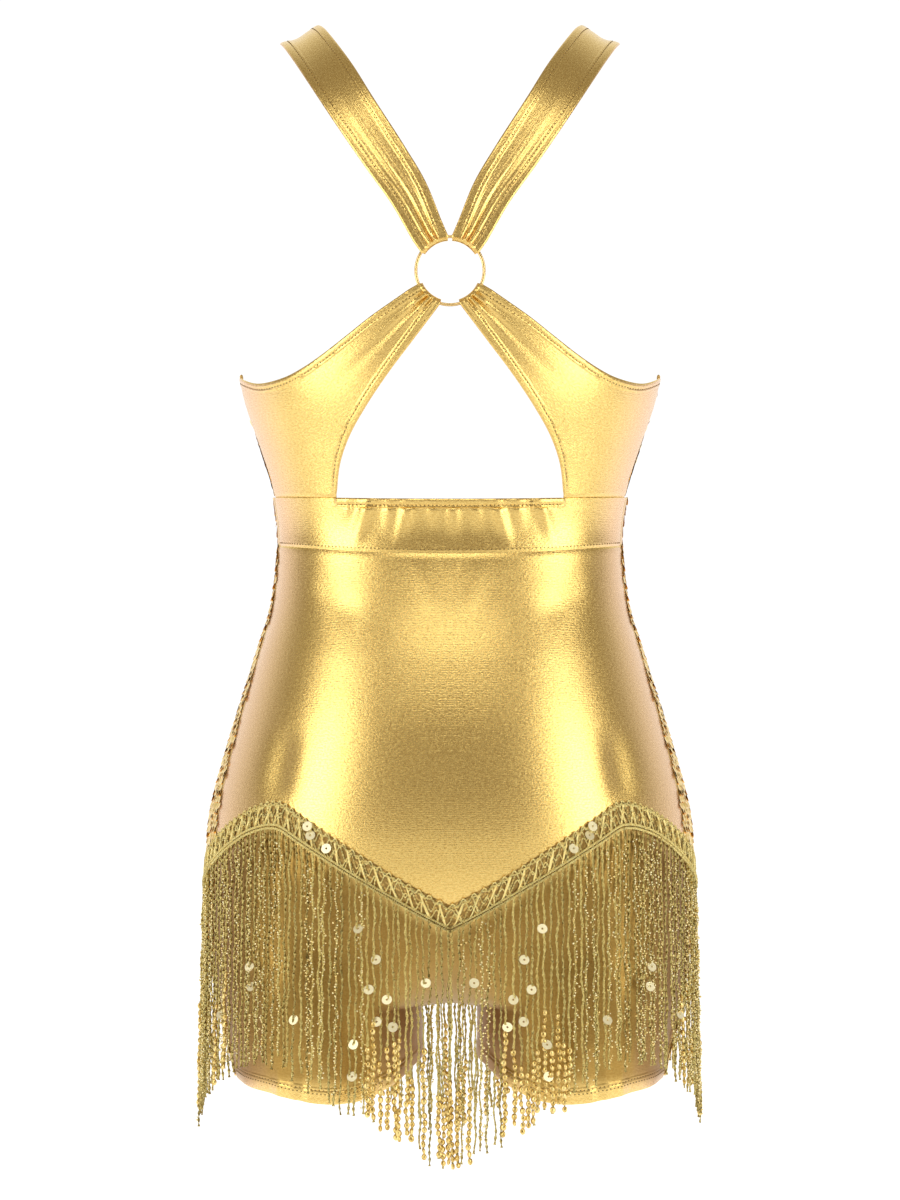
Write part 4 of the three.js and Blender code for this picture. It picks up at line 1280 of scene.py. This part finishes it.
# The waves' low and high edges as shares of the tape's height, how many run to a degree, and where they start
WAVES = ((0.2, 0.62, 1.9, 0), (0.45, 0.86, 2.3, 1.2), (0.82, 1.03, 2.9, 0.6))
braid_limits = {facing: side_limit(BRAID.at("z", 90), facing) - SEAM_TURN_GAP for facing in (-1, 1)}
for facing, label in FACINGS:
    limit = braid_limits[facing]
    steps = 360 if facing < 0 else 440
    turns = spaced(-limit, limit, steps)
    tape = lay_cloth(
        f"braid_tape_{label}", spaced(-limit, limit, 120), spaced(1, 0, 6), braid_place(facing, 1.2), 0.5)
    finish_piece(tape, lace_ground, "braid_and_fringe")
    on = braid_place(facing, BRAID_OUT + 0.4)
    over = braid_place(facing, BRAID_OUT + 1.3)
    lines = [
        line_on(over, turns, lambda t: 0.03),
        line_on(over, turns, lambda t: 0.16),
        line_on(on, turns, lambda t: 0.90 + 0.035 * math.sin(t * 3.1)),
    ]
    sizes = [CORD_RADIUS, CORD_RADIUS, CORD_RADIUS * 0.7]
    fine_turns = spaced(-limit, limit, steps * 2)
    for low, high, waves, start in WAVES:
        wave = lambda turn: mix(low, high, 0.5 + 0.5 * math.sin(turn * waves + start))
        lines.append(line_on(on, fine_turns, wave))
        sizes.append(BAR_RADIUS)
    count = int(2 * limit / BAR_SPACING)
    for k in range(count):
        turn = -limit + (k + 0.5) * 2 * limit / count
        lean = chance.normal(BAR_LEAN * (-1) ** k, 0.4)
        bar = [on(turn + lean * s, mix(0.16, 0.88, s))[0] for s in spaced(0, 1, 5)]
        lines.append(bar)
        sizes.append(BAR_RADIUS * (1.15 if k % 3 else 1.5))
    lace = threads(f"braid_lace_{label}", lines, sizes, 3.4)
    finish_piece(lace, braid_thread, "braid_and_fringe")


# Fringe: strands that hang from the braid's lower cord. Some are plain twisted thread, some carry runs of
# seed beads, and some end in a chain of cup sequins strung face to face. A few flat sequins hang among them.
STRAND_LENGTH = 154
STRAND_SPACING = {-1: 4.1, 1: 4.3}
STRAND_RADIUS = 1.1
STRAND_LEAN = 3.2
STRAND_STEPS = 36
BEAD_RADIUS = 1.0
BEADS_IN_A_RUN = (8, 24)
BEAD_STEP = (1.2, 2.2)
BEAD_GAP = (1, 6)
CHAIN_LENGTH = (26, 70)
CUP_LENGTH = 4.7
CUP_SIZE = np.array((1.95, 2.3, 1.2))
CUP_LEAN = math.radians(8)
FLAT_RADIUS = 3.4
FLAT_LEAN = 24
# Where the flat sequins hang on the right half, as x and z
FLAT_SEQUINS = (
    (93.3, -532.8), (91.3, -538.7), (80.8, -547.2), (59.9, -599.5), (48.1, -619.8), (52.7, -639.4),
    (15.7, -635.5), (131.9, -627.0), (130.6, -640.1), (151.5, -660.4), (47.5, -660.4), (37.0, -664.0),
    (40.9, -646.0), (63.2, -696.4), (101.8, -660.4), (62.5, -675.4),
)
STYLES = ("plain", "beaded", "beaded", "beaded", "sequined", "plain", "plain")
UP = np.array((0.0, 0.0, 1.0))


def seed_bead():
    round_grain()
    bpy.context.object.scale.z = 0.8
    bpy.ops.object.transform_apply(scale=True)


def pierced_disc():
    """A flat round sequin of unit radius with a hole for its thread."""
    bpy.ops.mesh.primitive_circle_add(vertices=16, radius=1)
    edit_whole(bpy.ops.mesh.extrude_edges_move, lambda: bpy.ops.transform.resize(value=(0.22, 0.22, 1)))
    apply_modifier(bpy.context.object, "SOLIDIFY", thickness=0.09)
    edit_whole(face_outward)


def cup_pair():
    """Two cup sequins strung face to face, seen as one oval."""
    bpy.ops.mesh.primitive_ico_sphere_add(subdivisions=2, radius=1)


bead_glass = toned(
    "bead_glass", 380, 1, (0.98, 0.76, 0.30), (1.0, 0.93, 0.60), (0.3, 0.7), rough=(0.12, 0.1), IOR=1.6,
    Metallic=0.6)
cup_foil = toned(
    "cup_sequin_foil", 420, 2, (0.58, 0.39, 0.11), (0.98, 0.78, 0.34), (0.35, 0.65), rough=(0.22, 0.12),
    relief=(0.0003, 0.5), Metallic=0.85)
flat_foil = toned(
    "flat_sequin_foil", 260, 1, (1.0, 0.90, 0.58), (1.0, 0.95, 0.72), rough=(0.28, 0.12),
    relief=(0.0002, 0.3), Metallic=0.55)
BEAD = model_of(seed_bead, bead_glass, "braid_and_fringe")
CUP_PAIR = model_of(cup_pair, cup_foil, "braid_and_fringe")
FLAT_SEQUIN = model_of(pierced_disc, flat_foil, "braid_and_fringe", True)


def strand_line(root, out, length):
    """Centreline of one strand: it hangs with small uneven kinks and leans a little off the cloth."""
    along = np.cross(UP, out)
    waves = chance.uniform(0, 6.28, 4)
    sway = chance.normal(0, 1.1)
    points = []
    for t in spaced(0, 1, STRAND_STEPS):
        down = t * length
        kink = 0.45 * math.sin(down / 3.6 + waves[0]) + 0.4 * math.sin(down / 7.3 + waves[1]) + sway * t * t
        depth = STRAND_LEAN * t + 0.4 * math.sin(down / 5.1 + waves[2])
        points.append(root + along * kink * min(1, down / 8) + out * depth - UP * down)
    return points


def seed_beads(strand, steps, along, out):
    """Places of runs of seed beads down one strand, each bead a little off it and turned by chance."""
    made = []
    s = chance.uniform(4, 14)
    while s < steps[-1] - 5:
        for _ in range(min(int(chance.integers(*BEADS_IN_A_RUN)), int((steps[-1] - s) / BEAD_STEP[1]))):
            offset = along * chance.normal(0, 1.1) + out * chance.normal(0.8, 0.4)
            axes = np.linalg.qr(chance.normal(size=(3, 3)))[0]
            axes = axes * np.sign(np.linalg.det(axes))
            made.append((point_at(s, steps, strand) + offset, axes, BEAD_RADIUS * chance.uniform(0.55, 0.95)))
            s += chance.uniform(*BEAD_STEP)
        s += chance.uniform(*BEAD_GAP)
    return made


def cup_chain(strand, steps, along, out):
    """Places of the cup sequins at the lower end of one strand, each swung round it by chance."""
    made = []
    s = steps[-1] - chance.uniform(*CHAIN_LENGTH)
    while s < steps[-1] + 1:
        swing = chance.normal(0, 0.7)
        face = out * math.cos(swing) + along * math.sin(swing)
        across = np.cross(UP, face)
        up = UP * math.cos(CUP_LEAN) - face * math.sin(CUP_LEAN)
        axes = np.array((across, up, np.cross(across, up)))
        axes = axes * np.sign(np.linalg.det(axes))
        made.append((point_at(s, steps, strand) + face * 0.3, axes, CUP_SIZE * chance.uniform(0.9, 1.08)))
        s += CUP_LENGTH
    return made


def flat_sequin_places(facing, edge):
    """Places of the flat sequins on both halves: they hang a little off the braid or the strands."""
    made = []
    for right_x, z in FLAT_SEQUINS:
        for x in (right_x, -right_x):
            y = np.interp(x, edge[:, 0], edge[:, 1])
            hung = max(0, min(1, (braid_middle(turn_at(x, z)) - z) / STRAND_LENGTH))
            out = unit(np.array((x / 200, facing, 0)))
            lean, swing = math.radians(FLAT_LEAN + chance.normal(0, 4)), chance.normal(0, 0.08)
            across = np.cross(UP, out) * math.cos(swing) + out * math.sin(swing)
            up = UP * math.cos(lean) - out * math.sin(lean)
            face = np.cross(across, up)
            at = np.array((x, y, z)) + out * (1.6 + STRAND_LEAN * hung)
            made.append((at, (across, np.cross(face, across), face), FLAT_RADIUS))
    return made


def hang_fringe(facing, label):
    place = braid_place(facing, BRAID_OUT + 0.7)
    limit = braid_limits[facing]
    edge = np.array([place(turn, 0.05)[0] for turn in spaced(-limit, limit, 900)])
    plan = run_lengths(edge * (1, 1, 0))
    strands, beads, cups = [], [], []
    for reach in np.arange(STRAND_SPACING[facing] / 2, plan[-1], STRAND_SPACING[facing]):
        reach = reach + chance.normal(0, 0.35)
        root = point_at(reach, plan, edge)
        tangent = point_at(reach + 1, plan, edge) - point_at(reach - 1, plan, edge)
        out = unit(np.array((tangent[1], -tangent[0], 0)))
        if np.dot(out, root * (1, 1, 0)) < 0:
            out = -out
        root = root + out * chance.normal(0.2, 0.35)
        length = STRAND_LENGTH + chance.normal(0, 3.5)
        style = STYLES[int(chance.integers(len(STYLES)))]
        if style == "sequined" and 82 < abs(root[0]) < 145:
            style = "beaded"
        if abs(root[0]) < 78 and chance.random() < 0.5:
            style = "sequined"
        strand = np.array(strand_line(root, out, length))
        strands.append(strand)
        steps = run_lengths(strand)
        along = np.cross(UP, out)
        if style == "beaded":
            beads += seed_beads(strand, steps, along, out)
        if style == "sequined":
            cups += cup_chain(strand, steps, along, out)
    hanging = threads(f"fringe_strands_{label}", strands, STRAND_RADIUS, 3.0)
    finish_piece(hanging, gold_thread, "braid_and_fringe", f"{label}_fringe")
    copies(f"fringe_beads_{label}", BEAD, beads)
    copies(f"fringe_sequins_{label}", CUP_PAIR, cups)
    copies(f"flat_sequins_{label}", FLAT_SEQUIN, flat_sequin_places(facing, edge))


for facing, label in FACINGS:
    hang_fringe(facing, label)


def shade_of_fringe(x, z):
    """Painted shade of the strands on the cloth: 1 where they hang over it, fading to 0 at the braid and leg
    hem.
    """
    below_braid = braid_middle(abs(turn_at(x, max(z, CROTCH)))) - z
    return smooth((below_braid - 6) / 10) * smooth((z + 712) / 14)


# Where the strands' shade is painted on the back of the body.
fringe_shade_layer = back_body.data.attributes.new("painted_fringe_shade", "FLOAT", "POINT")
fringe_shade_layer.data.foreach_set(
    "value", [shade_of_fringe(v.co.x / MM, v.co.z / MM) for v in back_body.data.vertices])
bpy.data.objects.remove(PLY_OUTLINE)
